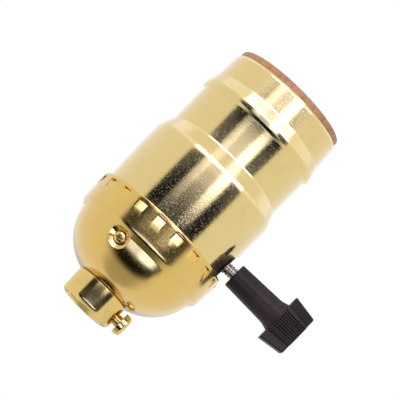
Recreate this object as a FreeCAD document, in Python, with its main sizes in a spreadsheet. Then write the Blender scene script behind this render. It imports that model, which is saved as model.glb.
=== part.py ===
"""Turn-knob lamp holder: a brass shell socket for a medium screw base lamp.

The drawn cap stands on its threaded hub, the shell snaps down into the cap, and the moulded base
inside carries the switch, the terminals and the screw shell. All sizes are in millimetres.
+Z runs along the socket from the hub's end face (z = 0) to the mouth, and the knob points along +X.
"""
import FreeCAD, Part
import math
import os
import re
import Sketcher

V = FreeCAD.Vector
DOC = FreeCAD.newDocument("LampHolder")

SIZES = {
    # hub, with a 1/8 in pipe thread inside, staked into the cap
    "hub_radius": 6.9,
    "hub_top_radius": 6.75,
    "hub_height": 6.3,
    "hub_edge": 1.1,
    "pipe_radius": 4.75,
    "neck_radius": 5.8,
    "stake_radius": 6.5,
    "stake_height": 0.6,
    # cap, drawn from sheet
    "cap_wall": 0.5,
    "cap_foot_radius": 7.3,
    "dome_curve": 13.0,
    "dome_height": 9.3,
    "step_curve": 1.6,
    "step_width": 1.35,
    "step_height": 2.6,
    "band_gap": 0.6,
    "band_height": 6.7,
    "band_flare": 0.25,
    # lanced windows round the cap's band
    "window_count": 20,
    "window_phase": -4.5,
    "window_width": 2.3,
    "window_height": 2.5,
    "window_margin": 0.75,
    "lance_push": 0.55,
    "lance_gap": 0.07,
    # fibre insulator in the cap
    "card_gap": 0.15,
    "card_wall": 0.5,
    # outer shell
    "shell_wall": 0.4,
    "skirt_inset": 0.65,
    "skirt_depth": 5.3,
    "foot_taper": 0.3,
    "shell_rise": 15.5,
    "shoulder_curve": 4.3,
    "shoulder_width": 1.4,
    "shoulder_height": 4.7,
    "neck_gap": 0.55,
    "neck_height": 9.6,
    "bead_height": 3.4,
    "bead_depth": 0.6,
    "rim_inset": 0.15,
    "rim_height": 6.2,
    "lip_gap": 0.05,
    "lip_height": 0.7,
    "slot_width": 8.0,
    # fibre liner of the shell
    "liner_gap": 0.35,
    "liner_wall": 0.5,
    "liner_proud": 1.6,
    "liner_lift": 1.4,
    "liner_slot": 10.0,
    # switch spindle
    "shaft_rise": 4.0,
    "shaft_radius": 1.6,
    "shaft_end_radius": 1.42,
    "shaft_end_inset": 0.5,
    "running_gap": 0.05,
    "seat_gap": 0.02,
    "rotor_length": 7.6,
    "rotor_half": 3.0,
    "rotor_corner": 1.2,
    "bridge_wall": 0.3,
    "clip_radius": 2.6,
    "clip_wall": 0.5,
    # turn knob
    "knob_gap": 1.85,
    "stem_length": 12.75,
    "stem_radius": 3.0,
    "stem_top_radius": 3.325,
    "stem_fillet": 0.8,
    "head_length": 6.2,
    "head_half": 6.1,
    "head_end_half": 5.25,
    "wing_half": 1.9,
    "wing_corner": 1.1,
    "barrel_radius": 3.3,
    "knob_hole_depth": 7.0,
    # moulded base
    "base_margin": 0.1,
    "base_edge": 0.8,
    "flange_edge": 0.6,
    "flange_height": 2.4,
    "flange_drop": 8.1,
    "base_rise": 7.6,
    "chamber_gap": 0.6,
    "rivet_radius": 1.2,
    "rivet_head_radius": 2.0,
    "rivet_head_height": 0.5,
    "rivet_angle": 45,
    # screw shell, disc and centre contact
    "lamp_radius": 13.3,
    "screw_shell_wall": 0.3,
    "screw_shell_height": 26.6,
    "screw_shell_corner": 0.8,
    "seat_height": 4.6,
    "seat_inset": 0.5,
    "screw_shell_opening": 7.6,
    "screw_shell_flare": 0.15,
    "thread_pitch": 3.63,
    "thread_depth": 0.8,
    "thread_land": 0.6,
    "flare_height": 0.6,
    "disc_wall": 0.7,
    "disc_gap": 0.05,
    "contact_wall": 0.35,
    "contact_width": 5.0,
    "contact_rise": 1.9,
    "contact_reach": 1.9,
    "contact_curve": 3.3,
    "contact_rivet_radius": 0.9,
    "contact_rivet_head": 1.2,
    "contact_rivet_offset": 5.1,
    # terminals and spring leaves
    "strap_wall": 0.7,
    "strap_width": 6.4,
    "strap_inset": 1.2,
    "strap_foot_reach": 3.6,
    "hot_plate_rise": 1.8,
    "terminal_screw_radius": 1.7,
    "terminal_screw_length": 3.1,
    "screw_well_gap": 0.3,
    "terminal_head_radius": 2.7,
    "terminal_head_height": 0.95,
    "terminal_rise": 3.0,
    "leaf_wall": 0.35,
    "leaf_width": 4.0,
    "leaf_gap": 0.05,
    # set screw of the hub and small screw of the cap
    "set_screw_radius": 1.42,
    "set_screw_height": 3.25,
    "set_head_radius": 2.6,
    "set_head_height": 1.95,
    "set_head_gap": 0.95,
    "dimple_radius": 2.35,
    "dimple_depth": 1.05,
    "dimple_wall": 0.45,
    "cap_screw_angle": -109.2,
    "cap_screw_tilt": 16,
    "cap_screw_drop": 0.85,
    "cap_screw_inset": 0.25,
    "cap_screw_length": 1.75,
    "cap_screw_radius": 0.9,
    "cap_screw_head_radius": 1.4,
    "cap_screw_head_height": 0.55,
    "screw_slot_width": 0.6,
    "small_slot_width": 0.4,
}

SHEET = DOC.addObject("Spreadsheet::Sheet", "Sizes")
for row, (alias, amount) in enumerate(SIZES.items(), start=1):
    SHEET.set(f"A{row}", alias)
    SHEET.set(f"B{row}", str(amount))
    SHEET.setAlias(f"B{row}", alias)
DOC.recompute()

# Heights along the socket, each stacked on what carries it.
CAP_FLOOR = "(hub_height + cap_wall)"
DOME_TOP = "(hub_height + dome_height)"
BAND_FOOT = "(hub_height + dome_height + step_height)"
CAP_TOP = f"({BAND_FOOT} + band_height)"
SKIRT_FOOT = f"({CAP_TOP} - skirt_depth)"
SHAFT = f"({CAP_TOP} + shaft_rise)"
SHOULDER_FOOT = f"({CAP_TOP} + shell_rise)"
SHOULDER_TOP = f"({SHOULDER_FOOT} + shoulder_height)"
BEAD_FOOT = f"({SHOULDER_TOP} + neck_height)"
BEAD_TOP = f"({BEAD_FOOT} + bead_height)"
LIP_FOOT = f"({BEAD_TOP} + rim_height)"
SHELL_TOP = f"({LIP_FOOT} + lip_height)"
LINER_FOOT = f"({SKIRT_FOOT} + liner_lift)"
LINER_TOP = f"({SHELL_TOP} + liner_proud)"
BASE_FOOT = f"({CAP_TOP} - flange_drop)"
FLANGE_TOP = f"({BASE_FOOT} + flange_height)"
TERMINAL = f"({FLANGE_TOP} + terminal_rise)"
BASE_TOP = f"({SHAFT} + base_rise)"
DISC_FOOT = f"({BASE_TOP} + screw_shell_wall)"
DISC_TOP = f"({DISC_FOOT} + disc_wall)"

# Radii, each outside the one that it fits round.
SCREW_SHELL = "(lamp_radius + screw_shell_wall)"
SEAT = f"({SCREW_SHELL} - seat_inset)"
BASE = f"({SCREW_SHELL} + base_margin)"
LINER_BORE = f"({BASE} + liner_gap)"
LINER = f"({LINER_BORE} + liner_wall)"
NECK = f"({LINER} + neck_gap + shell_wall)"
RIM = f"({NECK} - rim_inset)"
LIP = f"({LINER} + lip_gap + shell_wall)"
WIDE = f"({NECK} + shoulder_width)"
WIDE_FOOT = f"({WIDE} - foot_taper)"
SKIRT = f"({WIDE} - skirt_inset)"
BAND = f"({SKIRT} + band_gap + cap_wall)"
DOME = f"({BAND} - step_width)"
FLANGE = f"({DOME} - cap_wall)"
RIVET_CIRCLE = "(screw_shell_opening + rivet_head_radius)"
STRAP_FACE = f"({BASE} - strap_inset)"

# Places across the socket.
LEAF_FACE = "(rotor_half + bridge_wall + leaf_gap)"
CHAMBER_X = "(rotor_length / 2 + bridge_wall + chamber_gap)"
CHAMBER_Y = f"({LEAF_FACE} + leaf_wall + chamber_gap)"
CHAMBER_Z = "(rotor_half + rotor_corner + chamber_gap)"
SHAFT_START = f"({CHAMBER_X} + shaft_radius)"
SHAFT_REACH = f"({WIDE} - shaft_end_inset)"
KNOB_START = f"({WIDE} + knob_gap)"
SHAFT_END = f"({KNOB_START} + knob_hole_depth - seat_gap * 10)"
HEAD_START = f"({KNOB_START} + stem_length + stem_fillet)"
KNOB_END = f"({HEAD_START} + head_length)"
STRAP_BACK = f"({STRAP_FACE} - strap_wall)"
DISC_RADIUS = f"({SEAT} - screw_shell_corner - disc_gap)"
CHAMBER_FLOOR = f"({SHAFT} - {CHAMBER_Z})"
TAKEOFF_END = "(contact_rivet_offset + contact_rivet_head)"


def sized(text):
    """The expression with each named size pointed at the sheet."""
    return re.sub(r"[a-z][a-z_]*[a-z]", lambda word: "Sizes." + word[0] if word[0] in SIZES else word[0], text)


def size(text):
    """The expression's value now."""
    return float(SHEET.evalExpression(sized(text)))


def bind(thing, **places):
    """Tie the thing's properties to expressions; a double underscore stands for a dot."""
    for name, text in places.items():
        thing.setExpression(name.replace("__", "."), sized(text))


# ---------------------------------------------------------------- sketches

def pin_down(sketch, kind, where, text):
    """Hold one coordinate or radius of the sketch at an expression."""
    index = sketch.addConstraint(Sketcher.Constraint(kind, *where, size(text)))
    sketch.setExpression(f"Constraints[{index}]", sized(text))


def arc_between(start, end, radius):
    """The arc under half a turn that goes counter-clockwise from start to end."""
    chord = end - start
    rise = math.sqrt(max(radius ** 2 - chord.Length ** 2 / 4, 0))
    centre = (start + end) / 2 + V(-chord.y, chord.x, 0).normalize() * rise
    angles = [math.atan2(point.y - centre.y, point.x - centre.x) for point in (start, end)]
    return Part.ArcOfCircle(Part.Circle(centre, V(0, 0, 1), radius), *angles)


def draw(sketch, path, closed=True):
    """Lines and arcs through the corners of a path.

    A corner is (across, up), or (across, up, radius, turn) where an arc arrives there:
    turn is 1 for a left-hand bend and -1 for a right-hand bend.
    """
    corners = [V(size(corner[0]), size(corner[1]), 0) for corner in path]
    ends = []
    for index, corner in enumerate(path):
        start, end = corners[index - 1], corners[index]
        if index == 0 and not closed:
            continue
        if len(corner) == 2:
            number = sketch.addGeometry(Part.LineSegment(start, end))
            ends.append((number, 1, 2))
            continue
        radius, turn = corner[2:]
        first, second = (start, end) if turn > 0 else (end, start)
        number = sketch.addGeometry(arc_between(first, second, size(radius)))
        pin_down(sketch, "Radius", (number,), radius)
        ends.append((number, 1, 2) if turn > 0 else (number, 2, 1))
    for index, (number, start, end) in enumerate(ends):
        if index + 1 < len(ends) or closed:
            following = ends[(index + 1) % len(ends)]
            sketch.addConstraint(Sketcher.Constraint("Coincident", number, end, following[0], following[1]))
    stops = [(number, end) for number, start, end in ends]
    if closed:
        stops = stops[:]
    else:
        stops = [(ends[0][0], ends[0][1])] + stops
    for place, corner in zip(stops, path):
        pin_down(sketch, "DistanceX", place, corner[0])
        pin_down(sketch, "DistanceY", place, corner[1])


def sketch_in(body, name, plane, lift="0"):
    """An empty sketch on one of the body's own origin planes, lifted along its normal."""
    sketch = body.newObject("Sketcher::SketchObject", name)
    support = [feature for feature in body.Origin.OriginFeatures if feature.Role == plane][0]
    sketch.AttachmentSupport = [(support, "")]
    sketch.MapMode = "FlatFace"
    bind(sketch, AttachmentOffset__Base__z=lift)
    return sketch


def outline_in(body, name, plane, path, lift="0"):
    """A closed outline on one of the body's planes."""
    sketch = sketch_in(body, name, plane, lift)
    draw(sketch, path)
    return sketch


def circle_in(body, name, plane, across, up, radius, lift="0"):
    """A circle on one of the body's planes."""
    sketch = sketch_in(body, name, plane, lift)
    centre = V(size(across), size(up), 0)
    number = sketch.addGeometry(Part.Circle(centre, V(0, 0, 1), size(radius)))
    pin_down(sketch, "DistanceX", (number, 3), across)
    pin_down(sketch, "DistanceY", (number, 3), up)
    pin_down(sketch, "Radius", (number,), radius)
    return sketch


def rounded_box(half_across, half_up, corner):
    """The corners of a rectangle with rounded corners about the sketch's origin."""
    path = []
    for side, end, first in ((1, -1, False), (1, 1, True), (-1, 1, False), (-1, -1, True)):
        across = f"{side} * {half_across}"
        up = f"{end} * {half_up}"
        near_across = f"{side} * ({half_across} - {corner})"
        near_up = f"{end} * ({half_up} - {corner})"
        arrive, leave = (across, near_up), (near_across, up)
        if not first:
            arrive, leave = leave, arrive
        path.append(arrive)
        path.append(leave + (corner, 1))
    return path


# ---------------------------------------------------------------- features

def new_body(label, height="0"):
    """An empty body at a height along the socket's axis."""
    body = DOC.addObject("PartDesign::Body", label)
    body.Label = label
    bind(body, Placement__Base__z=height)
    return body


def turned(body, name, sketch, axis="V_Axis", kind="Revolution", angle="360"):
    """A sketch swept round one of its own axes."""
    feature = body.newObject("PartDesign::" + kind, name)
    feature.Profile = sketch
    feature.ReferenceAxis = (sketch, [axis])
    feature.Midplane = True
    bind(feature, Angle=angle)
    return feature


def pushed(body, name, sketch, length, kind="Pad", midplane=False, backwards=False):
    """A sketch pushed out as a pad, or in as a pocket."""
    feature = body.newObject("PartDesign::" + kind, name)
    feature.Profile = sketch
    feature.Midplane = midplane
    feature.Reversed = backwards
    bind(feature, Length=length)
    return feature


def sheet_ring(name, path, wall):
    """Sheet metal or card of one thickness, spun round the socket's axis.

    The path is the outer face, drawn upwards, and the wall lies on its inner side.
    """
    sketch = DOC.addObject("Sketcher::SketchObject", name + "_line")
    sketch.Placement = FreeCAD.Placement(V(0, 0, 0), FreeCAD.Rotation(V(1, 0, 0), 90))
    draw(sketch, path, closed=False)
    section = DOC.addObject("Part::Offset2D", name + "_section")
    section.Source = sketch
    section.Mode = "Skin"
    section.Fill = True
    bind(section, Value=wall)
    ring = DOC.addObject("Part::Revolution", name + "_ring")
    ring.Source = section
    ring.Axis = (0, 0, 1)
    ring.Angle = 360
    ring.Solid = True
    return ring


def block(name, low, high):
    """A box between two corners."""
    box = DOC.addObject("Part::Box", name)
    bind(
        box,
        Length=f"{high[0]} - ({low[0]})",
        Width=f"{high[1]} - ({low[1]})",
        Height=f"{high[2]} - ({low[2]})",
        Placement__Base__x=low[0],
        Placement__Base__y=low[1],
        Placement__Base__z=low[2],
    )
    return box


def rod(name, foot, along, radius, length):
    """A round rod from its foot along a direction."""
    cylinder = DOC.addObject("Part::Cylinder", name)
    bind(cylinder, Radius=radius, Height=length)
    stand(cylinder, foot, along)
    return cylinder


def strip(name, path, wall, width):
    """A bent strip across the socket: the path in the YZ plane, with the metal on its left."""
    sketch = DOC.addObject("Sketcher::SketchObject", name + "_line")
    sketch.Placement = FreeCAD.Placement(V(0, 0, 0), FreeCAD.Rotation(V(1, 1, 1), 120))
    draw(sketch, path, closed=False)
    section = DOC.addObject("Part::Offset2D", name + "_section")
    section.Source = sketch
    section.Mode = "Skin"
    section.Fill = True
    bind(section, Value=f"-{wall}")
    metal = DOC.addObject("Part::Extrusion", name + "_metal")
    metal.Base = section
    metal.DirMode = "Custom"
    metal.Dir = (1, 0, 0)
    metal.Solid = True
    metal.Symmetric = True
    bind(metal, LengthFwd=width)
    return metal


def stand(thing, foot, along):
    """Put a thing that was made along +Z at a foot, pointing along a direction."""
    thing.Placement = FreeCAD.Placement(V(0, 0, 0), FreeCAD.Rotation(V(0, 0, 1), V(*along)))
    bind(thing, Placement__Base__x=foot[0], Placement__Base__y=foot[1], Placement__Base__z=foot[2])


def fused(name, pieces):
    """One solid out of several."""
    whole = DOC.addObject("Part::MultiFuse", name)
    whole.Shapes = pieces
    return whole


def less(name, solid, tools):
    """A solid with tools cut out of it."""
    result = DOC.addObject("Part::Cut", name)
    result.Base = solid
    result.Tool = tools[0] if len(tools) == 1 else fused(name + "_tools", tools)
    return result


def body_on(label, solid):
    """A body that goes on from a solid made before it."""
    body = new_body(label)
    body.BaseFeature = solid
    DOC.recompute()
    return body


def tip(body, feature):
    """Make the feature the body's result."""
    body.Tip = feature
    return body


# ---------------------------------------------------------------- hub and cap

def slotted_screw(label, radius, length, head_radius, head_height, slot):
    """A flat-headed screw, its shank below z = 0 and its slotted head above."""
    body = new_body(label)
    edge = f"({head_height} * 0.2)"
    path = [
        ("0", f"-({length})"),
        (radius, f"-({length})"),
        (radius, "0"),
        (head_radius, "0"),
        (head_radius, f"{head_height} - {edge}"),
        (f"{head_radius} - {edge}", head_height, edge, 1),
        ("0", head_height),
    ]
    turned(body, label + "_turned", outline_in(body, label + "_outline", "XZ_Plane", path))
    floor = f"{head_height} * 0.5"
    above = f"{head_height} * 1.5"
    channel = [
        (f"-{slot} / 2", floor),
        (f"{slot} / 2", floor),
        (f"{slot} / 2", above),
        (f"-{slot} / 2", above),
    ]
    cut = outline_in(body, label + "_channel", "XZ_Plane", channel)
    slit = pushed(body, label + "_slot", cut, f"3 * {head_radius}", "Pocket", midplane=True)
    return tip(body, slit)


def make_hub():
    """The turned hub, staked over inside the cap."""
    hub = new_body("hub_bushing")
    path = [
        ("pipe_radius", "0"),
        ("hub_radius - hub_edge", "0"),
        ("hub_radius", "hub_edge", "hub_edge", 1),
        ("hub_top_radius", "hub_height"),
        ("neck_radius", "hub_height"),
        ("neck_radius", CAP_FLOOR),
        ("stake_radius", CAP_FLOOR),
        ("stake_radius", f"{CAP_FLOOR} + stake_height / 2"),
        ("stake_radius - stake_height / 2", f"{CAP_FLOOR} + stake_height", "stake_height / 2", 1),
        ("pipe_radius", f"{CAP_FLOOR} + stake_height"),
    ]
    turned(hub, "hub_turned", outline_in(hub, "hub_outline", "XZ_Plane", path))
    hole = circle_in(hub, "set_screw_hole", "YZ_Plane", "0", "set_screw_height", "set_screw_radius + seat_gap")
    drilled = pushed(hub, "hub_drilled", hole, "hub_radius + 1", "Pocket", backwards=True)
    return tip(hub, drilled)


def make_set_screw():
    """The screw that locks the hub on its pipe."""
    screw = slotted_screw(
        "set_screw", "set_screw_radius", "hub_radius + set_head_gap - pipe_radius - seat_gap * 5",
        "set_head_radius", "set_head_height", "screw_slot_width",
    )
    stand(screw, ("hub_radius + set_head_gap", "0", "set_screw_height"), (1, 0, 0))
    return screw


DOME_LINE = [
    ("cap_foot_radius", "hub_height"),
    (DOME, DOME_TOP, "dome_curve", 1),
]


def cap_screw_direction():
    """Outwards from the dome where its small screw sits."""
    around = math.radians(size("cap_screw_angle"))
    down = math.radians(size("cap_screw_tilt"))
    return (math.cos(around) * math.cos(down), math.sin(around) * math.cos(down), -math.sin(down))


def cap_screw_place(depth):
    """A point on the small screw's axis, at a depth below the dome."""
    out = cap_screw_direction()
    reach = size(f"{DOME} - cap_screw_inset")
    around = math.radians(size("cap_screw_angle"))
    spot = V(reach * math.cos(around), reach * math.sin(around), size(f"{DOME_TOP} - cap_screw_drop"))
    place = spot - V(*out) * size(depth)
    return [str(amount) for amount in place]


def make_cap():
    """The drawn cap: floor, dome, step and band, with a ring of lanced windows."""
    path = [("neck_radius", "hub_height")] + DOME_LINE + [
        (f"({DOME} + {BAND}) / 2", f"{DOME_TOP} + step_height / 2", "step_curve", -1),
        (BAND, BAND_FOOT, "step_curve", 1),
        (f"{BAND} + band_flare", CAP_TOP),
    ]
    ring = sheet_ring("cap", path, "cap_wall")
    out = cap_screw_direction()
    cup = rod("dimple_cup", cap_screw_place("dimple_depth + dimple_wall"), out,
              "dimple_radius + dimple_wall / 2", "dimple_depth + dimple_wall - cap_wall / 2")
    dish = DOC.addObject("Part::Cone", "dimple_dish")
    bind(dish, Radius1="cap_screw_head_radius + seat_gap", Radius2="dimple_radius + dimple_depth / 2",
         Height="dimple_depth + cap_wall")
    stand(dish, cap_screw_place("dimple_depth"), out)
    hole = rod("dimple_hole", cap_screw_place("dimple_depth + 2 * dimple_wall"), out,
               "cap_screw_radius + seat_gap", "dimple_depth + 2 * dimple_wall")
    drawn = less("cap_drawn", fused("cap_with_cup", [ring, cup]), [dish, hole])
    cap = body_on("cap", drawn)
    return lance_windows(cap)


def lance_windows(cap):
    """Shear each panel along its top and sides and push its top in, all round the band."""
    top = f"({CAP_TOP} - window_margin)"
    foot = f"({top} - window_height)"
    face = f"({BAND} + band_flare * ({foot} - {BAND_FOOT}) / band_height)"
    opening = [
        (f"{face} - 2 * cap_wall", foot),
        (f"{face} + cap_wall", foot),
        (f"{face} + cap_wall", top),
        (f"{face} - 2 * cap_wall", top),
    ]
    panel = [
        (f"{face} - cap_wall * 0.85", f"{foot} - cap_wall / 2"),
        (f"{face} - cap_wall * 0.15", f"{foot} - cap_wall / 2"),
        (f"{face} - cap_wall * 0.1", foot),
        (f"{face} - lance_push", f"{top} - lance_gap"),
        (f"{face} - lance_push - cap_wall * 0.8", f"{top} - lance_gap"),
        (f"{face} - cap_wall * 0.9", foot),
    ]
    turn = FreeCAD.Placement(V(0, 0, 0), FreeCAD.Rotation(V(0, 1, 0), size("window_phase")))
    wide = f"(window_width / {BAND} * 57.2958)"
    narrow = f"((window_width - 2 * lance_gap) / {BAND} * 57.2958)"
    hole_sketch = outline_in(cap, "window_outline", "XZ_Plane", opening)
    hole_sketch.AttachmentOffset = turn
    hole = turned(cap, "window", hole_sketch, kind="Groove", angle=wide)
    lance_sketch = outline_in(cap, "lance_outline", "XZ_Plane", panel)
    lance_sketch.AttachmentOffset = turn
    lance = turned(cap, "lance", lance_sketch, angle=narrow)
    DOC.recompute()
    ring = cap.newObject("PartDesign::PolarPattern", "window_ring")
    ring.Originals = [hole, lance]
    ring.Axis = (hole_sketch, ["V_Axis"])
    ring.Angle = 360
    bind(ring, Occurrences="window_count")
    return tip(cap, ring)


def make_cap_screw():
    """The small screw in the dome's dimple."""
    screw = slotted_screw(
        "cap_screw", "cap_screw_radius", "cap_screw_length",
        "cap_screw_head_radius", "cap_screw_head_height", "small_slot_width",
    )
    stand(screw, cap_screw_place("dimple_depth"), cap_screw_direction())
    return screw


def make_cap_card():
    """The dished fibre insulator under the dome."""
    sketch = DOC.addObject("Sketcher::SketchObject", "cap_card_line")
    sketch.Placement = FreeCAD.Placement(V(0, 0, 0), FreeCAD.Rotation(V(1, 0, 0), 90))
    draw(sketch, DOME_LINE, closed=False)
    face = DOC.addObject("Part::Offset2D", "cap_card_face")
    face.Source = sketch
    face.Mode = "Skin"
    bind(face, Value="cap_wall + card_gap")
    section = DOC.addObject("Part::Offset2D", "cap_card_section")
    section.Source = face
    section.Mode = "Skin"
    section.Fill = True
    bind(section, Value="-card_wall")
    ring = DOC.addObject("Part::Revolution", "cap_card_ring")
    ring.Source = section
    ring.Axis = (0, 0, 1)
    ring.Angle = 360
    ring.Solid = True
    return less("cap_insulator", ring, [dimple_way("card_notch")])


def dimple_way(name):
    """Room behind the dome for the dimple and its screw's end."""
    deep = "dimple_depth + 4 * dimple_wall + 3"
    return rod(name, cap_screw_place(deep), cap_screw_direction(), "dimple_radius + dimple_wall", deep)


# ---------------------------------------------------------------- shell and its liner

def side_slot(body, name, width, foot):
    """A slot up from the bottom edge on the knob's side, round at the top about the shaft."""
    half = f"{width} / 2"
    sides = [(f"-{half}", foot), (half, foot), (half, SHAFT), (f"-{half}", SHAFT)]
    straight = outline_in(body, name + "_sides", "YZ_Plane", sides)
    pushed(body, name + "_straight", straight, f"{WIDE} + slot_width / 4", "Pocket", backwards=True)
    end = circle_in(body, name + "_end", "YZ_Plane", "0", SHAFT, half)
    return tip(body, pushed(body, name + "_round", end, f"{WIDE} + slot_width / 4", "Pocket", backwards=True))


def make_shell():
    """The drawn shell: skirt, wide part, shoulder, neck, rolled bead, rim and curled lip."""
    path = [
        (SKIRT, SKIRT_FOOT),
        (SKIRT, f"{CAP_TOP} - skirt_depth / 3"),
        (WIDE_FOOT, f"{CAP_TOP} + cap_wall"),
        (WIDE, SHOULDER_FOOT),
        (f"({WIDE} + {NECK}) / 2", f"{SHOULDER_FOOT} + shoulder_height / 2",
         "shoulder_curve", 1),
        (NECK, SHOULDER_TOP, "shoulder_curve", -1),
        (NECK, BEAD_FOOT),
        (RIM, BEAD_TOP, "(bead_height * bead_height / 4 + bead_depth * bead_depth) / (2 * bead_depth)", 1),
        (RIM, LIP_FOOT),
        (LIP, SHELL_TOP, "lip_height * 1.1", 1),
    ]
    shell = body_on("outer_shell", sheet_ring("shell", path, "shell_wall"))
    return side_slot(shell, "shell_slot", "slot_width", f"{SKIRT_FOOT} - 1")


def make_liner():
    """The fibre tube that lines the shell and stands proud of its mouth."""
    path = [(LINER_BORE, LINER_FOOT), (LINER, LINER_FOOT), (LINER, LINER_TOP), (LINER_BORE, LINER_TOP)]
    liner = new_body("shell_liner")
    turned(liner, "liner_tube", outline_in(liner, "liner_outline", "XZ_Plane", path))
    DOC.recompute()
    return side_slot(liner, "liner_slot", "liner_slot", f"{LINER_FOOT} - 1")


# ---------------------------------------------------------------- spindle

def make_shaft():
    """The switch shaft, with a smaller threaded end for the knob."""
    shaft = new_body("switch_shaft", SHAFT)
    path = [
        (f"-{SHAFT_START}", "0"),
        (SHAFT_END, "0"),
        (SHAFT_END, "shaft_end_radius"),
        (SHAFT_REACH, "shaft_end_radius"),
        (SHAFT_REACH, "shaft_radius"),
        (f"-{SHAFT_START}", "shaft_radius"),
    ]
    return tip(shaft, turned(shaft, "shaft_turned", outline_in(shaft, "shaft_outline", "XZ_Plane", path), "H_Axis"))


def make_rotor():
    """The square cam that the leaves rest on."""
    rotor = new_body("rotor", SHAFT)
    square = outline_in(rotor, "rotor_square", "YZ_Plane", rounded_box("rotor_half", "rotor_half", "rotor_corner"))
    pushed(rotor, "rotor_block", square, "rotor_length", midplane=True)
    hole = circle_in(rotor, "rotor_hole", "YZ_Plane", "0", "0", "shaft_radius + seat_gap")
    return tip(rotor, pushed(rotor, "rotor_bored", hole, "2 * rotor_length", "Pocket", midplane=True))


def make_bridge():
    """The brass strap that joins two opposite flats of the rotor round its inner end."""
    outer = "(rotor_half + bridge_wall)"
    inner = "(rotor_half + seat_gap)"
    back = "(rotor_length / 2 + bridge_wall)"
    front = "(rotor_length / 4)"
    wide = "(rotor_half - rotor_corner)"
    path = [
        (f"-{back}", f"-{outer}"),
        (front, f"-{outer}"),
        (front, f"-{inner}"),
        (f"-{back} + bridge_wall - seat_gap", f"-{inner}"),
        (f"-{back} + bridge_wall - seat_gap", inner),
        (front, inner),
        (front, outer),
        (f"-{back}", outer),
    ]
    bridge = new_body("bridge_contact", SHAFT)
    pushed(bridge, "bridge_strap", outline_in(bridge, "bridge_outline", "XY_Plane", path), f"2 * {wide}", midplane=True)
    hole = circle_in(bridge, "bridge_hole", "YZ_Plane", "0", "0", "shaft_radius + seat_gap")
    return tip(bridge, pushed(bridge, "bridge_bored", hole, f"2 * {back}", "Pocket"))


def make_clip():
    """The clip on the shaft outside the base."""
    clip = new_body("retaining_clip", SHAFT)
    start = f"{BASE} + running_gap"
    ring = circle_in(clip, "clip_outline", "YZ_Plane", "0", "0", "clip_radius", start)
    pushed(clip, "clip_plate", ring, "clip_wall")
    hole = circle_in(clip, "clip_hole", "YZ_Plane", "0", "0", "shaft_radius + seat_gap", start)
    pushed(clip, "clip_bored", hole, "2 * clip_wall", "Pocket", backwards=True)
    half = "shaft_radius * 0.8"
    sides = [("0", f"-{half}"), ("clip_radius * 2", f"-{half}"), ("clip_radius * 2", half), ("0", half)]
    mouth = outline_in(clip, "clip_mouth", "YZ_Plane", sides, start)
    return tip(clip, pushed(clip, "clip_open", mouth, "2 * clip_wall", "Pocket", backwards=True))


def make_knob():
    """The moulded knob: a tapered stem, a round barrel and two wings."""
    knob = new_body("turn_knob", SHAFT)
    stem = [
        (KNOB_START, "0"),
        (KNOB_END, "0"),
        (KNOB_END, "barrel_radius - stem_fillet / 2"),
        (f"{KNOB_END} - stem_fillet / 2", "barrel_radius", "stem_fillet / 2", 1),
        (HEAD_START, "barrel_radius + stem_fillet / 2"),
        (f"{HEAD_START} - stem_fillet", "stem_top_radius", "stem_fillet * 1.1", -1),
        (KNOB_START, "stem_radius"),
    ]
    turned(knob, "knob_stem", outline_in(knob, "stem_outline", "XZ_Plane", stem), "H_Axis")
    near = outline_in(knob, "head_near", "YZ_Plane", rounded_box("wing_half", "head_half", "wing_corner"), HEAD_START)
    far = outline_in(knob, "head_far", "YZ_Plane",
                     rounded_box("(wing_half - 0.2)", "head_end_half", "wing_corner"), KNOB_END)
    head = knob.newObject("PartDesign::AdditiveLoft", "knob_head")
    head.Profile = near
    head.Sections = [far]
    head.Ruled = True
    DOC.recompute()
    hole = circle_in(knob, "knob_hole", "YZ_Plane", "0", "0", "shaft_end_radius + seat_gap", KNOB_START)
    return tip(knob, pushed(knob, "knob_bored", hole, "knob_hole_depth", "Pocket", backwards=True))


# ---------------------------------------------------------------- moulded base

def rivet_spot(side):
    """Where a housing rivet stands, on one side of the axis or the other."""
    across = f"{side} * {RIVET_CIRCLE} * cos(rivet_angle * 1deg)"
    along = f"{side} * {RIVET_CIRCLE} * sin(rivet_angle * 1deg)"
    return across, along


def rivet_holes(name, foot, top, radius):
    """Holes for both housing rivets."""
    holes = []
    for index, side in enumerate((1, -1)):
        across, along = rivet_spot(side)
        holes.append(rod(f"{name}_hole_{index}", (across, along, foot), (0, 0, 1), radius, f"{top} - ({foot})"))
    return holes


def chamber(name):
    """The space that the rotor and the leaves work in, with the shaft's bearings."""
    room = block(
        name + "_room",
        (f"-{CHAMBER_X}", f"-{CHAMBER_Y}", f"{SHAFT} - {CHAMBER_Z}"),
        (CHAMBER_X, CHAMBER_Y, f"{SHAFT} + {CHAMBER_Z}"),
    )
    bearing = rod(
        name + "_bearing", (f"-{SHAFT_START} - running_gap", "0", SHAFT), (1, 0, 0),
        "shaft_radius + running_gap", f"{SHAFT_START} + {BASE} + slot_width / 4",
    )
    return [room, bearing]


def terminal_pocket(name, side, foot, top):
    """The recess in the base's side for one terminal."""
    low, high = (STRAP_BACK, f"{BASE} + strap_wall") if side > 0 else (f"-{BASE} - strap_wall", f"-{STRAP_BACK}")
    return block(name, ("-strap_width / 2 - seat_gap", low, foot), ("strap_width / 2 + seat_gap", high, top))


def screw_well(name, side):
    """Room behind a terminal for its screw's end."""
    start = f"{side} * {STRAP_BACK}"
    return rod(name, ("0", start, TERMINAL), (0, -side, 0), "terminal_screw_radius + screw_well_gap", "terminal_screw_length")


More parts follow.
